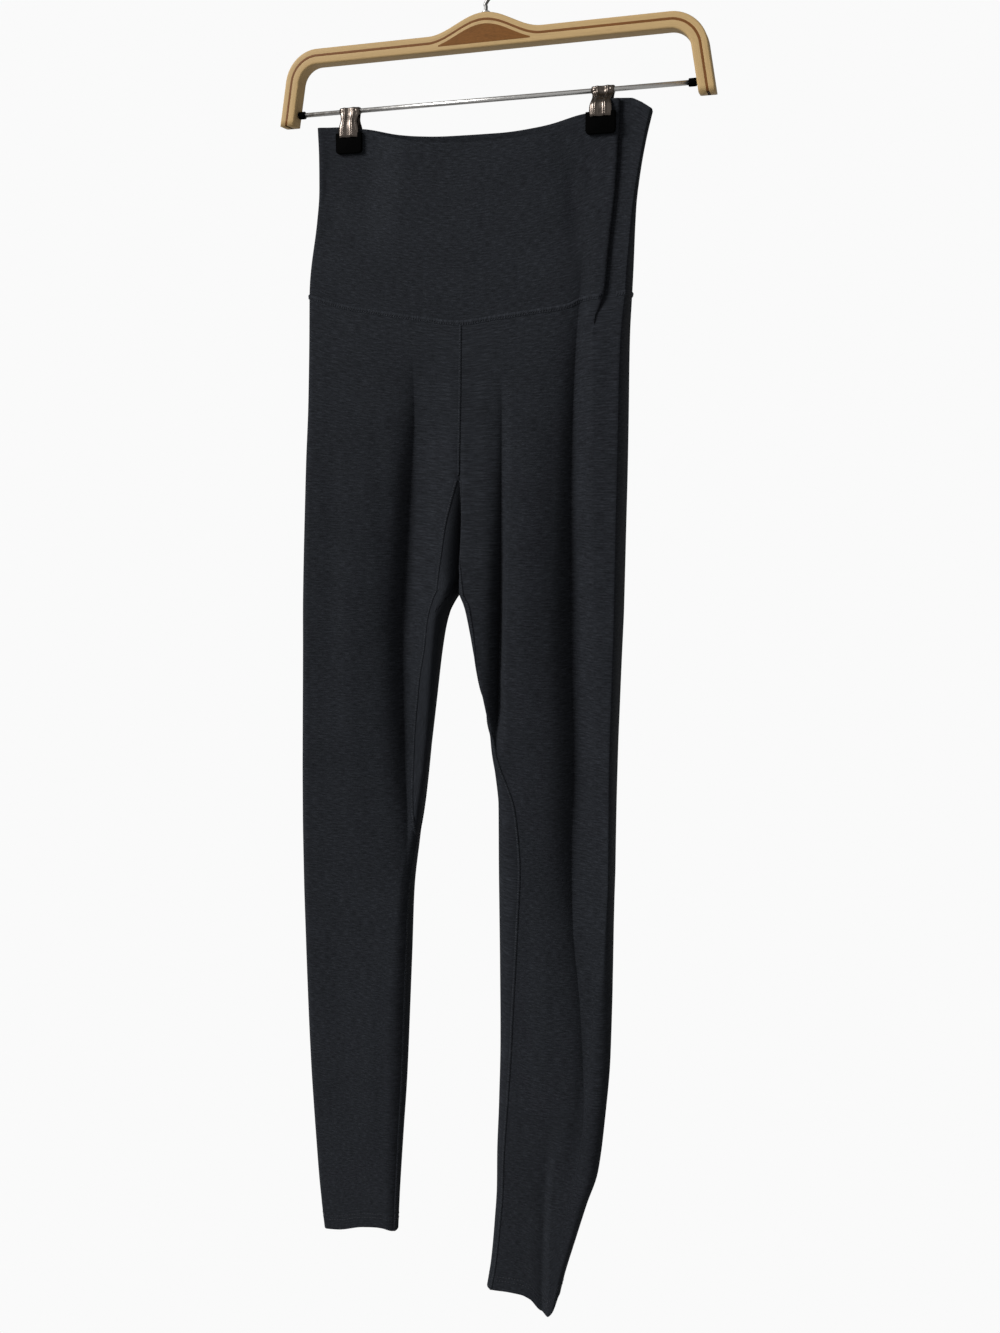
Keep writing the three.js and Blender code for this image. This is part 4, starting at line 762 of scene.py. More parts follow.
def ramp(material, source, stops):
    made = node(material, "ShaderNodeValToRGB", {"Fac": source})
    while len(made.color_ramp.elements) < len(stops):
        made.color_ramp.elements.new(0.5)
    for element, (place, colour) in zip(made.color_ramp.elements, stops):
        element.position = place
        element.color = (*colour, 1)
    return made.outputs["Color"]


def link(material, output, socket):
    material.node_tree.links.new(output, socket)


def relief(material, shader, height, distance, strength):
    bump = node(material, "ShaderNodeBump", {"Height": height, "Distance": distance, "Strength": strength})
    link(material, bump.outputs["Normal"], shader.inputs["Normal"])


def tint(colour, factor):
    return tuple(c * factor for c in colour)


def jersey_finish(name, colour, knit_depth=0.00012):
    """Dense mottled jersey: fine streaks across, a faint cloud of tone, and knit in relief."""
    material, shader = finish_nodes(name, roughness=0.8, specular=0.03)
    uv = node(material, "ShaderNodeUVMap", uv_map="lengths").outputs["UV"]

    def noise(scale, detail):
        place = node(material, "ShaderNodeMapping", {"Vector": uv, "Scale": (*scale, 1)}).outputs["Vector"]
        made = node(material, "ShaderNodeTexNoise", {"Vector": place, "Scale": 1.0, "Detail": detail})
        return made.outputs["Fac"]

    dashes, flecks, cloud = noise((150, 760), 1.5), noise((520, 1500), 1.0), noise((16, 30), 3.0)
    tone = ramp(material, dashes, [
        (0.3, tint(colour, 0.66)), (0.45, tint(colour, 0.94)),
        (0.55, tint(colour, 1.06)), (0.7, tint(colour, 1.5)),
    ])
    for source, low, high in ((flecks, 0.74, 1.26), (cloud, 0.93, 1.07)):
        shade = ramp(material, source, [(0.3, (low,) * 3), (0.7, (high,) * 3)])
        both = node(material, "ShaderNodeMix", data_type="RGBA", blend_type="MULTIPLY")
        both.inputs["Factor"].default_value = 1
        link(material, tone, both.inputs["A"])
        link(material, shade, both.inputs["B"])
        tone = both.outputs["Result"]
    link(material, tone, shader.inputs["Base Color"])
    shader.inputs["Sheen Weight"].default_value = 0.01
    shader.inputs["Sheen Roughness"].default_value = 0.4
    shader.inputs["Sheen Tint"].default_value = (0.92, 0.95, 1, 1)
    raised = node(material, "ShaderNodeMath", {0: noise((1500, 1100), 2.0), 1: dashes}, operation="ADD")
    relief(material, shader, raised.outputs[0], knit_depth, 0.8)
    return material


def thread_finish(name, colour):
    material, shader = finish_nodes(name, roughness=0.6, specular=0.2, colour=colour)
    place = node(material, "ShaderNodeTexCoord").outputs["Object"]
    fleck = node(material, "ShaderNodeTexNoise", {"Vector": place, "Scale": 1800.0, "Detail": 1.0})
    tone = ramp(material, fleck.outputs["Fac"], [(0.35, tint(colour, 0.7)), (0.65, tint(colour, 1.35))])
    link(material, tone, shader.inputs["Base Color"])
    return material


def wood_finish(name, colour, along_scale=18.0, across_scale=1400.0, contrast=0.16, roughness=0.45):
    """Clear-coated wood, its grain running down the length of the piece's own UV."""
    material, shader = finish_nodes(name, roughness=roughness, specular=0.07)
    uv = node(material, "ShaderNodeUVMap", uv_map="lengths").outputs["UV"]

    def noise(scale, **facts):
        place = node(material, "ShaderNodeMapping", {"Vector": uv, "Scale": (*scale, 1)})
        inputs = {"Vector": place.outputs["Vector"], "Scale": 1.0, **facts}
        return node(material, "ShaderNodeTexNoise", inputs)

    grain = noise((across_scale, along_scale), Detail=4.0, Roughness=0.6)
    pores = noise((across_scale * 3, along_scale * 9))
    both = node(material, "ShaderNodeMath", {0: grain.outputs["Fac"], 1: pores.outputs["Fac"]},
                operation="ADD")
    half = node(material, "ShaderNodeMath", {0: both.outputs[0], 1: 0.5}, operation="MULTIPLY")
    link(material, ramp(material, half.outputs[0], [
        (0.36, tint(colour, 1 - contrast)), (0.52, colour), (0.68, tint(colour, 1 + contrast * 0.7)),
    ]), shader.inputs["Base Color"])
    relief(material, shader, half.outputs[0], 0.00008, 0.5)
    return material


def metal_finish(name, colour, roughness):
    material, shader = finish_nodes(name, roughness=roughness, metallic=1.0, colour=colour)
    place = node(material, "ShaderNodeTexCoord").outputs["Object"]
    wear = node(material, "ShaderNodeTexNoise", {"Vector": place, "Scale": 260.0, "Detail": 3.0})
    spread = node(material, "ShaderNodeMapRange", {
        "Value": wear.outputs["Fac"], "To Min": roughness * 0.7, "To Max": roughness * 1.5})
    link(material, spread.outputs["Result"], shader.inputs["Roughness"])
    return material


def rubber_finish(name, colour):
    material, shader = finish_nodes(name, roughness=0.8, specular=0.012, colour=colour)
    place = node(material, "ShaderNodeTexCoord").outputs["Object"]
    grain = node(material, "ShaderNodeTexNoise", {"Vector": place, "Scale": 2200.0, "Detail": 2.0})
    relief(material, shader, grain.outputs["Fac"], 0.00006, 0.6)
    return material


FINISHES = {}


def finish(name):
    """The named finish, made the first time that it is asked for from the sizes and colours of the panel."""
    settings = bpy.context.scene.leggings
    makers = {
        "jersey": lambda: jersey_finish("charcoal_jersey", settings.cloth_colour),
        "seam": lambda: jersey_finish("charcoal_seam", tint(settings.cloth_colour, 1.03), 0.00008),
        # painted highlight: the yoke seam's jersey is made 1.3 times lighter than the cloth, standing in for
        # the light that its raised ridge catches
        "yoke_seam": lambda: jersey_finish("charcoal_yoke_painted_highlight", tint(settings.cloth_colour, 1.3), 0.00008),
        "thread": lambda: thread_finish("charcoal_thread", tint(settings.cloth_colour, 1.5)),
        "beech": lambda: wood_finish("beech_ply", settings.wood_colour),
        "glue": lambda: wood_finish("brown_glue_line", settings.glue_colour, contrast=0.3),
        "veneer": lambda: wood_finish("brown_veneer", settings.veneer_colour, 30.0, 500.0, 0.22, 0.38),
        "chrome": lambda: metal_finish("bright_plated_steel", settings.metal_colour, 0.3),
        "hook_steel": lambda: metal_finish("grey_hook_wire", tint(settings.metal_colour, 0.3), 0.36),
        # painted dark reflection: the plated steel's colour is cut to a fifth and browned, standing in for
        # the dark surroundings that the clip leaves mirror
        "painted_reflection_chrome": lambda: metal_finish("chrome_painted_dark_reflection", tuple(
            c * part for c, part in zip(settings.metal_colour, (0.2, 0.17, 0.15))), 0.26),
        "rubber": lambda: rubber_finish("black_rubber", settings.rubber_colour),
    }
    if name not in FINISHES:
        FINISHES[name] = makers[name]()
    return FINISHES[name]


# ---- Seams ----

# Sections across a seam, in parts of its half width and of its height
SEAM_PROFILE = [(-1, -0.25), (-0.85, 0.55), (-0.5, 0.95), (0, 1.0), (0.5, 0.95), (0.85, 0.55), (1, -0.25)]
# The yoke seam, from its lower edge up: a flat ledge, a groove, and the rolled ridge above it
YOKE_PROFILE = [
    (-1, -0.25), (-0.86, 0.32), (-0.55, 0.36), (-0.36, 0.1), (-0.16, 0.72), (0.14, 1.0), (0.5, 0.92),
    (0.82, 0.4), (1, -0.25),
]


def seam_strip(name, sections, node_name):
    """A raised seam from sections of points, closed below."""
    closed = np.concatenate([sections, sections[:, :1]], axis=1)
    # the yoke seams get the jersey lightened as a painted highlight; the other seams get the plain seam
    # jersey
    kind = "yoke_seam" if node_name.startswith("yoke") else "seam"
    obj = publish(name, sheet_grid(closed, tube=True, caps=True), finish(kind))
    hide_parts(node_name)
    return obj


def stitches(name, middles, ways, lengths, outs, width):
    """Short threads: at each middle, one along its way, lying against the cloth."""
    bm = bmesh.new()
    for middle, way, length, out in zip(middles, ways, lengths, outs):
        x = Vector(way).normalized()
        z = Vector(out).normalized()
        y = z.cross(x).normalized()
        turn = Matrix((x, y, z)).transposed().to_4x4()
        size = Matrix.Diagonal((length / 2 * MM, width / 2, width / 2, 1))
        bmesh.ops.create_icosphere(bm, subdivisions=1, radius=1,
                                   matrix=Matrix.Translation(Vector(middle) * MM) @ turn @ size)
    return publish(name, bm, finish("thread"))


def even_steps(points, pitch):
    """Fractional row numbers spaced evenly along a line of points."""
    lengths = np.concatenate([[0], np.cumsum(np.linalg.norm(np.diff(points, axis=0), axis=1))])
    return np.interp(np.arange(pitch / 2, lengths[-1], pitch), lengths, np.arange(len(points)))


def ladder(name, sections, pitch, width):
    """Threads that cross a seam from side to side, slanted in turns."""
    middle = sections[:, sections.shape[1] // 2]
    left, right = sections[:, 1], sections[:, -2]
    at = even_steps(middle, pitch)
    rows = np.arange(len(middle))

    def read(line, where):
        return np.stack([np.interp(where, rows, line[:, k]) for k in range(3)], axis=1)

    centre = read(middle, at)
    start, end = read(left, at - 0.12), read(right, at + 0.12)
    way = end - start
    forward = read(middle, np.minimum(at + 0.3, rows[-1])) - read(middle, np.maximum(at - 0.3, 0))
    out = np.cross(way, forward)
    out *= np.sign(np.sum(out * (centre - (start + end) / 2), axis=1, keepdims=True) + 1e-12)
    return stitches(name, centre, way, np.linalg.norm(way, axis=1) * 0.94, out, width)


def leg_seam_sections(leg, face, half, height):
    facts = LEGS[leg]
    tip = facts["seam"]["z"][-1]
    top = GUSSET_TOP_Z - 4
    low = facts["hem_z"] + 0.3 if face == "front" else tip + 3
    rows = np.linspace(top, low, int(abs(low - top) / 3))[:, None]
    middle = seam_start(leg, rows) if face == "front" else seam_end(leg, rows)
    step = 0.002
    moved = leg_points(leg, middle + step, rows) - leg_points(leg, middle - step, rows)
    speed = np.linalg.norm(moved, axis=-1)
    scale = half * 2 * step / speed
    profile = np.array(SEAM_PROFILE)
    place = middle + profile[None, :, 0] * scale
    floor = np.where(rows > CROTCH_Z, step, -1)
    roof = np.where(rows > CROTCH_Z, 2 - step, 9)
    place = np.clip(place, floor, roof)
    return lifted(leg, place, rows, profile[None, :, 1] * height)


def centre_seam_sections(face, half, height):
    rows = np.linspace(YOKE_Z - 2, GUSSET_TOP_Z + 1, 46)[:, None]
    columns = []
    for across, up in SEAM_PROFILE:
        leg = "left" if across < 0 else "right"
        part = abs(across) * half / along(FULLNESS, LEGS[leg]["inside"], rows)
        s = inside_position(leg, face, part)
        columns.append(lifted(leg, s if face == "front" else 2 - s, rows, up * height)[:, 0])
    return np.stack(columns, axis=1)


def yoke_sections(face, stretches, half, height):
    found = []
    for leg, start, end, count in stretches:
        s = np.linspace(start, end, count)[:, None]
        profile = np.array(YOKE_PROFILE)
        rows = YOKE_Z + SEAM_GAP / 2 + profile[None, :, 0] * half
        found.append(lifted(leg, s if face == "front" else 2 - s, rows, profile[None, :, 1] * height))
    return np.concatenate(found, axis=0)


# ---- The panel's own sizes and colours ----


class LeggingsSettings(bpy.types.PropertyGroup):
    cloth_thickness: FloatProperty(name="Leg cloth", description="Thickness of the jersey of the legs",
                                   default=0.0012, unit="LENGTH", precision=4)
    band_thickness: FloatProperty(name="Waistband cloth", description="Thickness of the doubled waistband",
                                  default=0.0015, unit="LENGTH", precision=4)
    hem_thickness: FloatProperty(name="Hem", description="Thickness of the turned hem",
                                 default=0.0021, unit="LENGTH", precision=4)
    seam_half: FloatProperty(name="Seam half width", description="Half the width of a raised seam",
                             default=0.0015, unit="LENGTH", precision=4)
    seam_height: FloatProperty(name="Seam height", description="How far a seam stands above the cloth",
                               default=0.0007, unit="LENGTH", precision=4)
    stitch_pitch: FloatProperty(name="Stitch pitch", description="Distance from one stitch to the next",
                                default=0.0024, unit="LENGTH", precision=4)
    thread_width: FloatProperty(name="Thread", description="Width of the sewing thread",
                                default=0.00042, unit="LENGTH", precision=5)
    cloth_colour: FloatVectorProperty(name="Jersey", description="Colour of the jersey", subtype="COLOR",
                                      size=3, default=(0.0096, 0.0106, 0.0128), min=0, max=1)
    wood_colour: FloatVectorProperty(name="Beech", description="Colour of the bent plies", subtype="COLOR",
                                     size=3, default=(0.325, 0.222, 0.104), min=0, max=1)
    glue_colour: FloatVectorProperty(name="Glue line", description="Colour of the line between the plies",
                                     subtype="COLOR", size=3, default=(0.12, 0.047, 0.013), min=0, max=1)
    veneer_colour: FloatVectorProperty(name="Veneer", description="Colour of the insert in the hump",
                                       subtype="COLOR", size=3, default=(0.12, 0.048, 0.0105), min=0, max=1)
    metal_colour: FloatVectorProperty(name="Steel", description="Colour of the plated steel", subtype="COLOR",
                                      size=3, default=(0.5, 0.49, 0.475), min=0, max=1)
    rubber_colour: FloatVectorProperty(name="Pads", description="Colour of the clip pads and plugs",
                                       subtype="COLOR", size=3, default=(0.0005,) * 3, min=0, max=1)


BACKDROP = (0.956, 0.956, 0.956)
FLOOR_Z, FLOOR_HALF = -1.46, 30.0
ROOM_LIGHT = 0.3
# name, strength, spread in degrees, the way that it comes from
LIGHTS = (("key_light", 5.1, 26, (-0.66, -0.63, 0.46)), ("fill_light", 0.35, 60, (0.55, -1.0, 0.35)))
# The photograph's camera: degrees round and down, lens and shift in pixels of the long side, place in metres
CAMERA_AZIMUTH, CAMERA_PITCH = 18.3, 4.26
FOCAL_PX, LONG_PX, SHIFT_PX = 1100, 1333, -200
CAMERA_PLACE = (0.3361, -0.9756, -0.3982)
SENSOR_WIDTH = 36


class LEGGINGS_OT_stage(bpy.types.Operator):
    """Make the pale floor, the soft studio light and the camera at the photograph's angle"""

    bl_idname = "leggings.stage"
    bl_label = "Stage"

    def execute(self, context):
        bm = bmesh.new()
        bmesh.ops.create_grid(bm, x_segments=1, y_segments=1, size=FLOOR_HALF,
                              matrix=Matrix.Translation((0, 0, FLOOR_Z)))
        material, shader = finish_nodes("pale_floor", roughness=0.9, specular=0.0, colour=(0.5, 0.5, 0.5))
        ray = node(material, "ShaderNodeLightPath").outputs["Is Camera Ray"]
        pale = node(material, "ShaderNodeEmission", {"Color": (*BACKDROP, 1)})
        lit = node(material, "ShaderNodeMixShader", {0: ray, 1: shader.outputs[0], 2: pale.outputs[0]})
        link(material, lit.outputs[0], material.node_tree.nodes["Material Output"].inputs["Surface"])
        mesh = bpy.data.meshes.new("floor")
        bm.to_mesh(mesh)
        bm.free()
        floor = bpy.data.objects.new("floor", mesh)
        context.collection.objects.link(floor)
        mesh.materials.append(material)

        world = bpy.data.worlds.new("studio")
        world.use_nodes = True
        context.scene.world = world
        tree = world.node_tree
        seen, light = tree.nodes["Background"], tree.nodes.new("ShaderNodeBackground")
        seen.inputs["Color"].default_value = (*BACKDROP, 1)
        light.inputs["Color"].default_value = (1, 1, 1, 1)
        light.inputs["Strength"].default_value = ROOM_LIGHT
        path, both = tree.nodes.new("ShaderNodeLightPath"), tree.nodes.new("ShaderNodeMixShader")
        tree.links.new(path.outputs["Is Camera Ray"], both.inputs["Fac"])
        tree.links.new(light.outputs["Background"], both.inputs[1])
        tree.links.new(seen.outputs["Background"], both.inputs[2])
        tree.links.new(both.outputs["Shader"], tree.nodes["World Output"].inputs["Surface"])

        for name, strength, spread, aim in LIGHTS:
            lamp = bpy.data.lights.new(name, "SUN")
            lamp.energy = strength
            lamp.angle = math.radians(spread)
            obj = bpy.data.objects.new(name, lamp)
            obj.rotation_euler = Vector(aim).to_track_quat("Z", "Y").to_euler()
            context.collection.objects.link(obj)

        azimuth, pitch = math.radians(CAMERA_AZIMUTH), math.radians(CAMERA_PITCH)
        level = math.cos(pitch)
        right = Vector((math.cos(azimuth), math.sin(azimuth), 0))
        back = Vector((math.sin(azimuth) * level, -math.cos(azimuth) * level, math.sin(pitch)))
        turn = Matrix((right, back.cross(right), back)).transposed().to_4x4()
        camera = bpy.data.objects.new("camera", bpy.data.cameras.new("camera"))
        camera.data.sensor_width = SENSOR_WIDTH
        camera.data.lens = SENSOR_WIDTH * FOCAL_PX / LONG_PX
        camera.data.shift_y = SHIFT_PX / LONG_PX
        camera.data.clip_start = 0.01
        camera.matrix_world = Matrix.Translation(CAMERA_PLACE) @ turn
        context.collection.objects.link(camera)
        context.scene.camera = camera
        context.scene.view_settings.view_transform = "Standard"
        return {"FINISHED"}


class LEGGINGS_OT_waistband(bpy.types.Operator):
    """Make the front and back of the deep waistband, with the pressed pleat at the right of the front"""

    bl_idname = "leggings.waistband"
    bl_label = "Waistband"

    def execute(self, context):
        settings = context.scene.leggings
        for face, toward in (("front", (0, -1, 0)), ("back", (0, 1, 0))):
            obj = cloth(f"Waistband_{face}", band_cloth(face), toward, settings.band_thickness,
                        finish("jersey"))
            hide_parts(f"waistband_{face}")
        return {"FINISHED"}


class LEGGINGS_OT_legs(bpy.types.Operator):
    """Make the two legs, each a wall round its own leg from the centre-front to the centre-back seam"""

    bl_idname = "leggings.legs"
    bl_label = "Legs"

    def execute(self, context):
        settings = context.scene.leggings
        for leg in LEGS:
            obj = cloth(f"Leg_{leg}", leg_cloth(leg), (0, -1, 0), settings.cloth_thickness, finish("jersey"),
                        hem_rows=HEM_ROWS, hem_thickness=settings.hem_thickness)
            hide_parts(f"leg_{leg}")
        return {"FINISHED"}


class LEGGINGS_OT_gusset(bpy.types.Operator):
    """Make the long diamond gusset at the crotch"""

    bl_idname = "leggings.gusset"
    bl_label = "Gusset"

    def execute(self, context):
        settings = context.scene.leggings
        obj = cloth("Gusset", gusset_cloth(), (0, -1, 0), settings.cloth_thickness, finish("jersey"))
        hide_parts("gusset")
        return {"FINISHED"}


class LEGGINGS_OT_seams(bpy.types.Operator):
    """Make the raised seams and the threads across them"""

    bl_idname = "leggings.seams"
    bl_label = "Seams and stitches"

    def execute(self, context):
        settings = context.scene.leggings
        half, height = settings.seam_half / MM, settings.seam_height / MM
        pitch, width = settings.stitch_pitch / MM, settings.thread_width
        made = {}
        for face in ("front", "back"):
            made[f"centre_{face}_welt"] = centre_seam_sections(face, half, height)
            for leg in ("left", "right"):
                name = f"inseam_welt_{leg}" if face == "front" else f"gusset_welt_{leg}"
                made[name] = leg_seam_sections(leg, face, half, height)
        pleat_from = (PLEAT_SPAN + PLEAT_SEAM_STOP) / RIGHT_SPANS
        pleat_to = (PLEAT_SPAN + 1) / RIGHT_SPANS
        wide, high = half * 1.75, height * 1.7
        made["yoke_welt_front"] = yoke_sections("front", [
            ("left", 0.999, 0.0, 110), ("right", 0.004, pleat_from, 90)], wide, high)
        made["yoke_welt_side"] = yoke_sections("front", [("right", pleat_to, 0.999, 24)], wide, high)
        made["yoke_welt_back"] = yoke_sections("back", [
            ("left", 0.999, 0.0, 110), ("right", 0.004, 0.999, 110)], wide, high)
        for name, sections in made.items():
            obj = seam_strip(name.replace("welt", "seam").capitalize(), sections, name)
            threads = ladder(name.replace("welt", "stitches").capitalize(), sections, pitch, width)
        return {"FINISHED"}


class LEGGINGS_OT_hems(bpy.types.Operator):
    """Make the two rows of stitches round each hem"""

    bl_idname = "leggings.hems"
    bl_label = "Hem stitches"

    def execute(self, context):
        settings = context.scene.leggings
        pitch, width = settings.stitch_pitch / MM * 1.25, settings.thread_width
        for leg, facts in LEGS.items():
            middles, ways, outs = [], [], []
            for above in (11.0, 15.0):
                row = facts["hem_z"] + above
                place = np.linspace(0.02, 1.98, 400)
                line = lifted(leg, place, row, 0.12)
                at = even_steps(line, pitch)
                rows = np.arange(len(line))
                read = [np.stack([np.interp(at + d, rows, line[:, k]) for k in range(3)], axis=1)
                        for d in (-0.6, 0, 0.6)]
                middles.append(read[1])
                ways.append(read[2] - read[0])
                outs.append(leg_normals(leg, np.interp(at, rows, place), row))
            lengths = np.full(sum(len(m) for m in middles), pitch * 0.8)
            obj = stitches(f"Hem_stitches_{leg}", np.concatenate(middles), np.concatenate(ways), lengths,
                           np.concatenate(outs), width)
        return {"FINISHED"}


# ---- The hanger, in millimetres as in the part's source ----

WOOD_TOP_Z, WOOD_END_Z, WOOD_HALF_WIDTH = -77.8, -148, 209.5
WOOD_CORNER, WOOD_LEAN, WOOD_DEPTH = 34, 0.166, 15
HUMP_HALF_WIDTH, HUMP_RISE = 55, 16.8
OUTER_PLY, GLUE_GAP, INNER_PLY, HUMP_BRANCH = 6.5, 0.3, 7.8, 3.5
INSERT_REACH, INSERT_LOW_Z, INSERT_END_GAP = 46.5, -88.4, 2.4
BAR_Z, BAR_DIAMETER = -137.7, 4.4
HOOK_WIRE, HOOK_INNER_RADIUS, HOOK_ARC_START, HOOK_ARC_SWEEP = 3.4, 20, -0.22 * math.pi, 1.3 * math.pi
HOOK_STEM = ((0, 0), (0, 6), (1.2, 11))
PLUG_RADIUS = 3.6
JAW_TOP_Z, JAW_LOW_Z, JAW_HALF_WIDTH, JAW_THICKNESS = -158.5, -178, 13.5, 3.4
JAW_EDGE, JAW_LOW_CORNER = 0.8, 3.4
LEAF_HALF_WIDTH, LEAF_THICKNESS, LEAF_NEAR_BAR = 10.0, 0.8, 2.7
# Two rolled ribs down each leaf, and a turned flange at each side
RIB_PLACE, RIB_HALF, RIB_HEIGHT = 4.6, 1.5, 1.5
FLANGE_PLACE, FLANGE_WIDTH, FLANGE_DROP = 8.3, 1.7, 0.9
SLEEVE_PLACE, SLEEVE_HALF, SLEEVE_RADIUS = 7.4, 2.9, 3.1
LEAN_ANGLE = math.atan(WOOD_LEAN)
WOOD_CORNER_Z = WOOD_TOP_Z - WOOD_CORNER
ARM_TOP_Z = WOOD_CORNER_Z + WOOD_CORNER * math.sin(LEAN_ANGLE)
WOOD_CORNER_X = WOOD_HALF_WIDTH - (ARM_TOP_Z - WOOD_END_Z) * WOOD_LEAN - WOOD_CORNER * math.cos(LEAN_ANGLE)
# How far the glue line shows on each side of the gap between the plies
GLUE_SHOWN = 1.0


def hump_z(x, inset):
    lift = np.where(np.abs(x) < HUMP_HALF_WIDTH, 0.5 * (1 + np.cos(np.pi * x / HUMP_HALF_WIDTH)), 0)
    return WOOD_TOP_Z - inset + HUMP_RISE * lift


def wood_line(inset, with_hump=True):
    """The bent line at a depth below the hanger's outer face, from its right end to its left end."""
    radius = WOOD_CORNER - inset
    end_x = WOOD_HALF_WIDTH - inset / math.cos(LEAN_ANGLE)
    angles = np.linspace(LEAN_ANGLE, np.pi / 2, 22)
    arc = np.stack([WOOD_CORNER_X + radius * np.cos(angles), WOOD_CORNER_Z + radius * np.sin(angles)], axis=1)
    t = np.linspace(0, 1, 9)[:-1, None]
    arm = mix(np.array([[end_x, WOOD_END_Z]]), arc[:1], t)
    x = np.concatenate([
        np.linspace(WOOD_CORNER_X, HUMP_HALF_WIDTH, 12)[1:], np.linspace(HUMP_HALF_WIDTH, 0, 26)[1:],
    ])
    top = np.stack([x, hump_z(x, inset) if with_hump else np.full(len(x), WOOD_TOP_Z - inset)], axis=1)
    half = np.vstack([arm, arc, top])
    return np.vstack([half, half[::-1][1:] * (-1, 1)])


def swept_ply(name, from_inset, to_inset, depth, round_out, round_in, material, flat_low=False):
    """A ply between two depths of the bent line, with rounded long edges, and its grain down its length."""
    half = depth / 2
    steps = 5
    section = []

    def arc(centre_inset, centre_y, radius, start, end):
        for k in range(steps + 1):
            a = math.radians(start + (end - start) * k / steps)
            section.append((centre_inset - radius * math.cos(a), centre_y + radius * math.sin(a)))

    arc(from_inset + round_out, -half + round_out, round_out, -90, 0)
    arc(from_inset + round_out, half - round_out, round_out, 0, 90)
    arc(to_inset - round_in, half - round_in, round_in, 90, 180)
    arc(to_inset - round_in, -half + round_in, round_in, 180, 270)
    section.append(section[0])
    middle_inset = (from_inset + to_inset) / 2
    rings = []
    for inset, y in section:
        line = wood_line(inset, with_hump=not (flat_low and inset > middle_inset))
        rings.append(np.stack([line[:, 0], np.full(len(line), y), line[:, 1]], axis=1))
    points = np.stack(rings, axis=1)
    return publish(name, sheet_grid(points, tube=True, caps=True), material)


class LEGGINGS_OT_hanger_wood(bpy.types.Operator):
    """Make the bent plies, the line between them and the insert in the hump"""

    bl_idname = "leggings.hanger_wood"
    bl_label = "Hanger wood"

    def execute(self, context):
        outer = swept_ply("Hanger_outer_ply", 0, OUTER_PLY, WOOD_DEPTH, 1.7, 0.25, finish("beech"))
        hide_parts("hanger_outer_ply")
        inner_from, inner_to = OUTER_PLY + GLUE_GAP, OUTER_PLY + GLUE_GAP + INNER_PLY
        inner = swept_ply("Hanger_inner_ply", inner_from, inner_to, WOOD_DEPTH, 0.25, 1.9, finish("beech"),
                          flat_low=True)
        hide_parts("hanger_inner_ply")
        glue = swept_ply("Hanger_glue_line", OUTER_PLY - GLUE_SHOWN, inner_from + GLUE_SHOWN,
                         WOOD_DEPTH + 0.06, 0.1, 0.1, finish("glue"))

        x = np.linspace(1, -1, 61) * (INSERT_REACH - INSERT_END_GAP)
        high = hump_z(x, inner_from + HUMP_BRANCH + GLUE_GAP)
        low = np.full(len(x), INSERT_LOW_Z + GLUE_GAP)
        depth = WOOD_DEPTH + 0.16
        front = np.full(len(x), -depth / 2)
        points = np.stack([np.stack([x, front, high], axis=1), np.stack([x, front, low], axis=1)], axis=1)
        bm = sheet_grid(points)
        made = bmesh.ops.extrude_face_region(bm, geom=bm.faces[:])
        moved = [v for v in made["geom"] if isinstance(v, bmesh.types.BMVert)]
        bmesh.ops.translate(bm, verts=moved, vec=(0, depth * MM, 0))
        bmesh.ops.recalc_face_normals(bm, faces=bm.faces)
        insert = publish("Hanger_insert", bm, finish("veneer"), smooth_faces=False)
        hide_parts("hanger_insert")
        return {"FINISHED"}


def wire(name, points, radius, material):
    """A round wire through points in millimetres, as a mesh."""
    curve = bpy.data.curves.new(name, "CURVE")
    curve.dimensions = "3D"
    curve.bevel_depth = radius * MM
    curve.bevel_resolution = 8
    curve.use_fill_caps = True
    spline = curve.splines.new("POLY")
    spline.points.add(len(points) - 1)
    for target, point in zip(spline.points, points):
        target.co = (*(Vector(point) * MM), 1)
    holder = bpy.data.objects.new(name + "_path", curve)
    bpy.context.collection.objects.link(holder)
    mesh = bpy.data.meshes.new_from_object(holder.evaluated_get(bpy.context.evaluated_depsgraph_get()))
    bpy.data.objects.remove(holder)
    bpy.data.curves.remove(curve)
    bm = bmesh.new()
    bm.from_mesh(mesh)
    bpy.data.meshes.remove(mesh)
    bmesh.ops.remove_doubles(bm, verts=bm.verts, dist=1e-6)
    bmesh.ops.recalc_face_normals(bm, faces=bm.faces)
    return publish(name, bm, material)


def smooth_line(points, count):
    """A round line through points, by cubic pieces."""
    knots = np.array(points, dtype=float)
    ends = np.vstack([2 * knots[0] - knots[1], knots, 2 * knots[-1] - knots[-2]])
    found = []
    for i in range(len(knots) - 1):
        p0, p1, p2, p3 = ends[i:i + 4]
        for t in np.linspace(0, 1, count, endpoint=False):
            found.append(0.5 * (2 * p1 + (p2 - p0) * t + (2 * p0 - 5 * p1 + 4 * p2 - p3) * t**2
                                + (3 * p1 - p0 - 3 * p2 + p3) * t**3))
    return found + [knots[-1]]


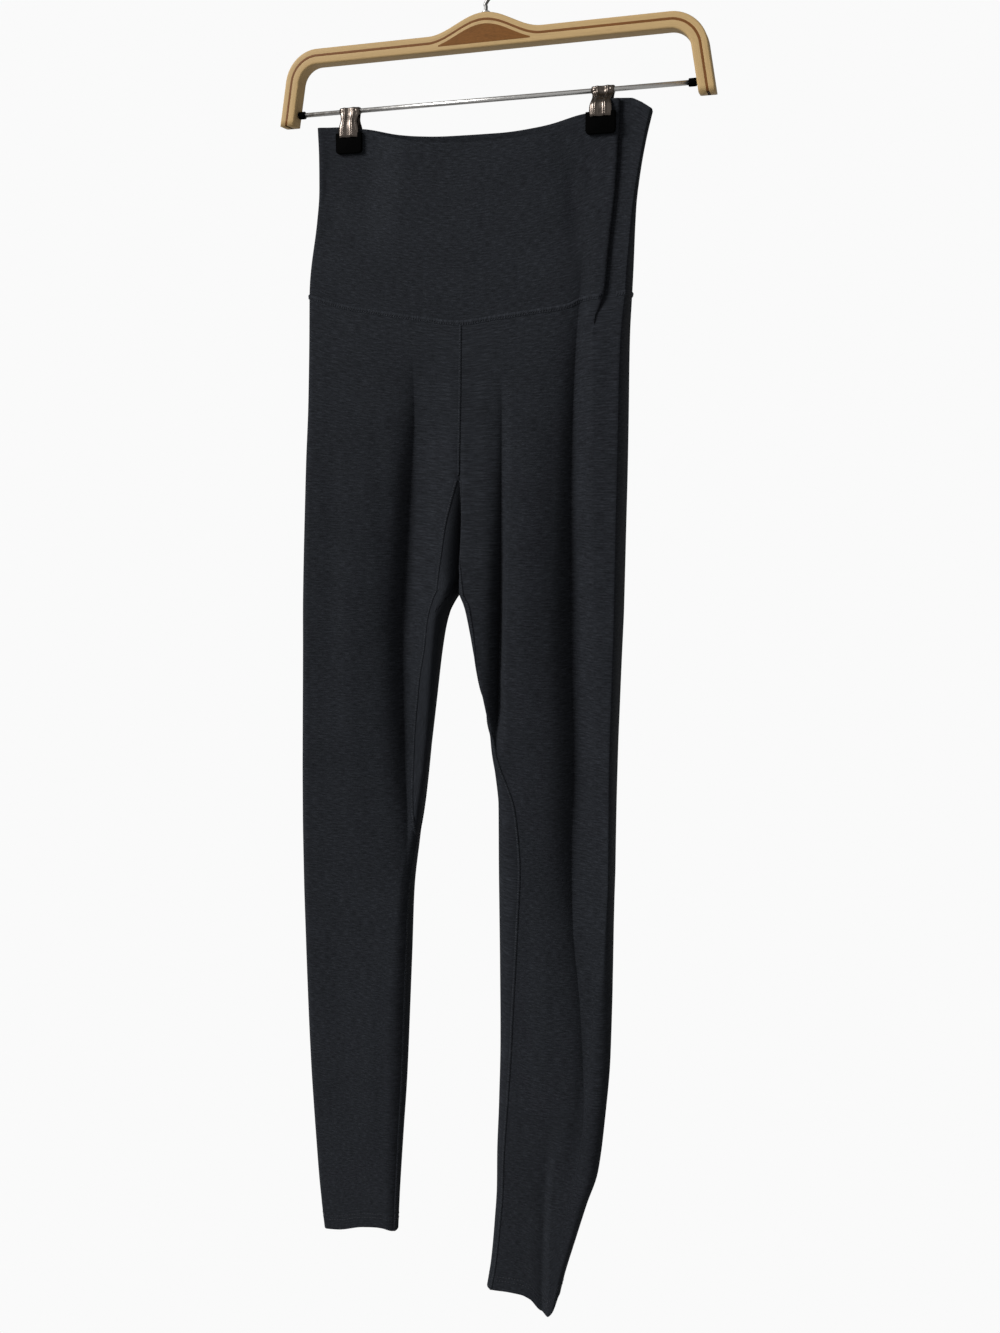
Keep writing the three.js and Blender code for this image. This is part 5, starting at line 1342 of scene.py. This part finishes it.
class LEGGINGS_OT_hook(bpy.types.Operator):
    """Make the wire hook and its collar"""

    bl_idname = "leggings.hook"
    bl_label = "Hook"

    def execute(self, context):
        radius = HOOK_INNER_RADIUS + HOOK_WIRE / 2
        low = WOOD_TOP_Z + HUMP_RISE + GLUE_GAP
        points = [(x, 0, low + up) for x, up in HOOK_STEM]
        for k in range(1, 15):
            angle = HOOK_ARC_START + k / 14 * HOOK_ARC_SWEEP
            points.append((radius * math.cos(angle), 0, -HOOK_INNER_RADIUS + radius * math.sin(angle)))
        hook = wire("Hook", smooth_line(points, 8), HOOK_WIRE / 2, finish("hook_steel"))
        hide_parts("hook")

        bm = bmesh.new()
        centre = Matrix.Translation(Vector((HOOK_WIRE / 2 + 1.2, 0, low + 1.1)) * MM)
        section = centre @ Matrix.Rotation(math.pi / 2, 4, "X") @ Matrix.Diagonal((1.0 * MM, 1.1 * MM, MM, 1))
        ring = bmesh.ops.create_circle(bm, segments=14, radius=1, matrix=section)["verts"]
        bmesh.ops.spin(bm, geom=ring + bm.edges[:], cent=(0, 0, 0), axis=(0, 0, 1), angle=2 * math.pi,
                       steps=32, use_merge=True)
        bmesh.ops.recalc_face_normals(bm, faces=bm.faces)
        collar = publish("Hook_collar", bm, finish("chrome"))
        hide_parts("hook_collar")
        return {"FINISHED"}


def lying_cylinder(bm, radius, from_x, to_x):
    """A closed cylinder along the bar's line, added to a bmesh; sizes in millimetres."""
    turn = Matrix.Rotation(math.pi / 2, 4, "Y")
    place = Matrix.Translation(Vector(((from_x + to_x) / 2, 0, BAR_Z)) * MM)
    bmesh.ops.create_cone(bm, cap_ends=True, segments=28, radius1=radius * MM, radius2=radius * MM,
                          depth=(to_x - from_x) * MM, matrix=place @ turn)


def soften(bm, edges, radius, segments=3, clamp=False):
    """Rounds edges of a bmesh to a radius in millimetres."""
    bmesh.ops.bevel(bm, geom=edges, offset=radius * MM, segments=segments, profile=0.5, affect="EDGES",
                    material=-1, clamp_overlap=clamp)


def soft_box(bm, centre, size, radius, low_corners):
    """A box with rounded edges and rounder low corners, added to a bmesh; sizes in millimetres."""
    matrix = Matrix.Translation(Vector(centre) * MM) @ Matrix.Diagonal((*[s * MM for s in size], 1))
    bmesh.ops.create_cube(bm, size=1, matrix=matrix)
    low = [e for e in bm.edges if all(v.co.z < centre[2] * MM for v in e.verts)
           and abs(e.verts[0].co.y - e.verts[1].co.y) > size[1] * MM / 2]
    soften(bm, low, low_corners, segments=6)
    soften(bm, [e for e in bm.edges if e.calc_face_angle(0) > 0.8], radius, clamp=True)


class LEGGINGS_OT_bar(bpy.types.Operator):
    """Make the metal bar and its end plugs"""

    bl_idname = "leggings.bar"
    bl_label = "Bar"

    def execute(self, context):
        low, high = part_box("bar")
        bm = bmesh.new()
        lying_cylinder(bm, BAR_DIAMETER / 2, low[0] / MM - 2, high[0] / MM + 2)
        bar = publish("Bar", bm, finish("chrome"))
        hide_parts("bar")
        for side in ("left", "right"):
            low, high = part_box(f"bar_plug_{side}")
            bm = bmesh.new()
            lying_cylinder(bm, PLUG_RADIUS, low[0] / MM, high[0] / MM + (0.4 if side == "right" else 0))
            soften(bm, [e for e in bm.edges if e.calc_face_angle(0) > 1], 0.6)
            plug = publish(f"Bar_plug_{side}", bm, finish("rubber"))
            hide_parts(f"bar_plug_{side}")
        return {"FINISHED"}


class LEGGINGS_OT_clips(bpy.types.Operator):
    """Make the two sprung clips: plated leaves, sleeves on the bar, and black pads on the cloth"""

    bl_idname = "leggings.clips"
    bl_label = "Clips"

    def execute(self, context):
        for side, (x, front, back) in CLIPS.items():
            faces = {"front": -(front + 0.3), "back": back + 0.3}
            for face, y in faces.items():
                way = -1 if face == "front" else 1
                bm = bmesh.new()
                height = JAW_TOP_Z - JAW_LOW_Z
                soft_box(bm, (x, y + way * JAW_THICKNESS / 2, JAW_LOW_Z + height / 2),
                         (2 * JAW_HALF_WIDTH, JAW_THICKNESS, height), JAW_EDGE, JAW_LOW_CORNER)
                pad = publish(f"Clip_{side}_{face}_pad", bm, finish("rubber"))
                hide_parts(f"clip_{side}_{face}_pad")

            bm = bmesh.new()
            for face, y in faces.items():
                way = -1 if face == "front" else 1
                outside = y + way * (JAW_THICKNESS + 0.45)
                near_bar = way * LEAF_NEAR_BAR
                rows = [(-134.6, near_bar), (-141, near_bar * 1.15), (-147.5, mix(near_bar, outside, 0.72)),
                        (-153, outside), (-163, outside)]
                line = smooth_line([(0, yy, zz) for zz, yy in rows], 5)
                across = np.linspace(-LEAF_HALF_WIDTH, LEAF_HALF_WIDTH, 41)
                rib = RIB_HEIGHT * np.exp(-((np.abs(across) - RIB_PLACE) / RIB_HALF) ** 2)
                rib -= FLANGE_DROP * smooth((np.abs(across) - FLANGE_PLACE) / FLANGE_WIDTH)
                points = []
                for _, yy, zz in line:
                    taper = 1.02 - 0.17 * math.exp(-(((zz + 146.5) / 5.5) ** 2))
                    points.append([(x + a * taper, yy + way * r, zz) for a, r in zip(across, rib)])
                points = np.array(points)
                grid = sheet_grid(points, flip=not faces_out(points, (0, way, 0)))
                bmesh.ops.solidify(grid, geom=grid.faces[:] + grid.edges[:] + grid.verts[:],
                                   thickness=LEAF_THICKNESS * MM)
                mesh = bpy.data.meshes.new("leaf")
                grid.to_mesh(mesh)
                grid.free()
                bm.from_mesh(mesh)
                bpy.data.meshes.remove(mesh)
            for shift in (-SLEEVE_PLACE, SLEEVE_PLACE):
                lying_cylinder(bm, SLEEVE_RADIUS, x + shift - SLEEVE_HALF, x + shift + SLEEVE_HALF)
            bmesh.ops.recalc_face_normals(bm, faces=bm.faces)
            # the spring takes plated steel whose colour is darkened as a painted dark reflection
            spring = publish(f"Clip_{side}_spring", bm, finish("painted_reflection_chrome"))
            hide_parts(f"clip_{side}_spring")
        return {"FINISHED"}


PIECES = (
    LEGGINGS_OT_stage, LEGGINGS_OT_waistband, LEGGINGS_OT_legs, LEGGINGS_OT_gusset, LEGGINGS_OT_seams,
    LEGGINGS_OT_hems, LEGGINGS_OT_hanger_wood, LEGGINGS_OT_hook, LEGGINGS_OT_bar, LEGGINGS_OT_clips,
)


class LEGGINGS_PT_panel(bpy.types.Panel):
    """Lists the pieces and the sizes and colours that a user would change"""

    bl_idname = "LEGGINGS_PT_panel"
    bl_label = "Leggings on a clip hanger"
    bl_space_type = "VIEW_3D"
    bl_region_type = "UI"
    bl_category = "Leggings"

    def draw(self, context):
        settings = context.scene.leggings
        for name in LeggingsSettings.__annotations__:
            self.layout.prop(settings, name)
        for piece in PIECES:
            self.layout.operator(piece.bl_idname)


def register():
    for made in (LeggingsSettings, *PIECES, LEGGINGS_PT_panel):
        bpy.utils.register_class(made)
    bpy.types.Scene.leggings = PointerProperty(type=LeggingsSettings)


def unregister():
    del bpy.types.Scene.leggings
    for made in reversed((LeggingsSettings, *PIECES, LEGGINGS_PT_panel)):
        bpy.utils.unregister_class(made)


def main():
    register()
    for piece in PIECES:
        group, name = piece.bl_idname.split(".")
        getattr(getattr(bpy.ops, group), name)()
    bpy.context.view_layer.update()


if __name__ == "__main__":
    main()
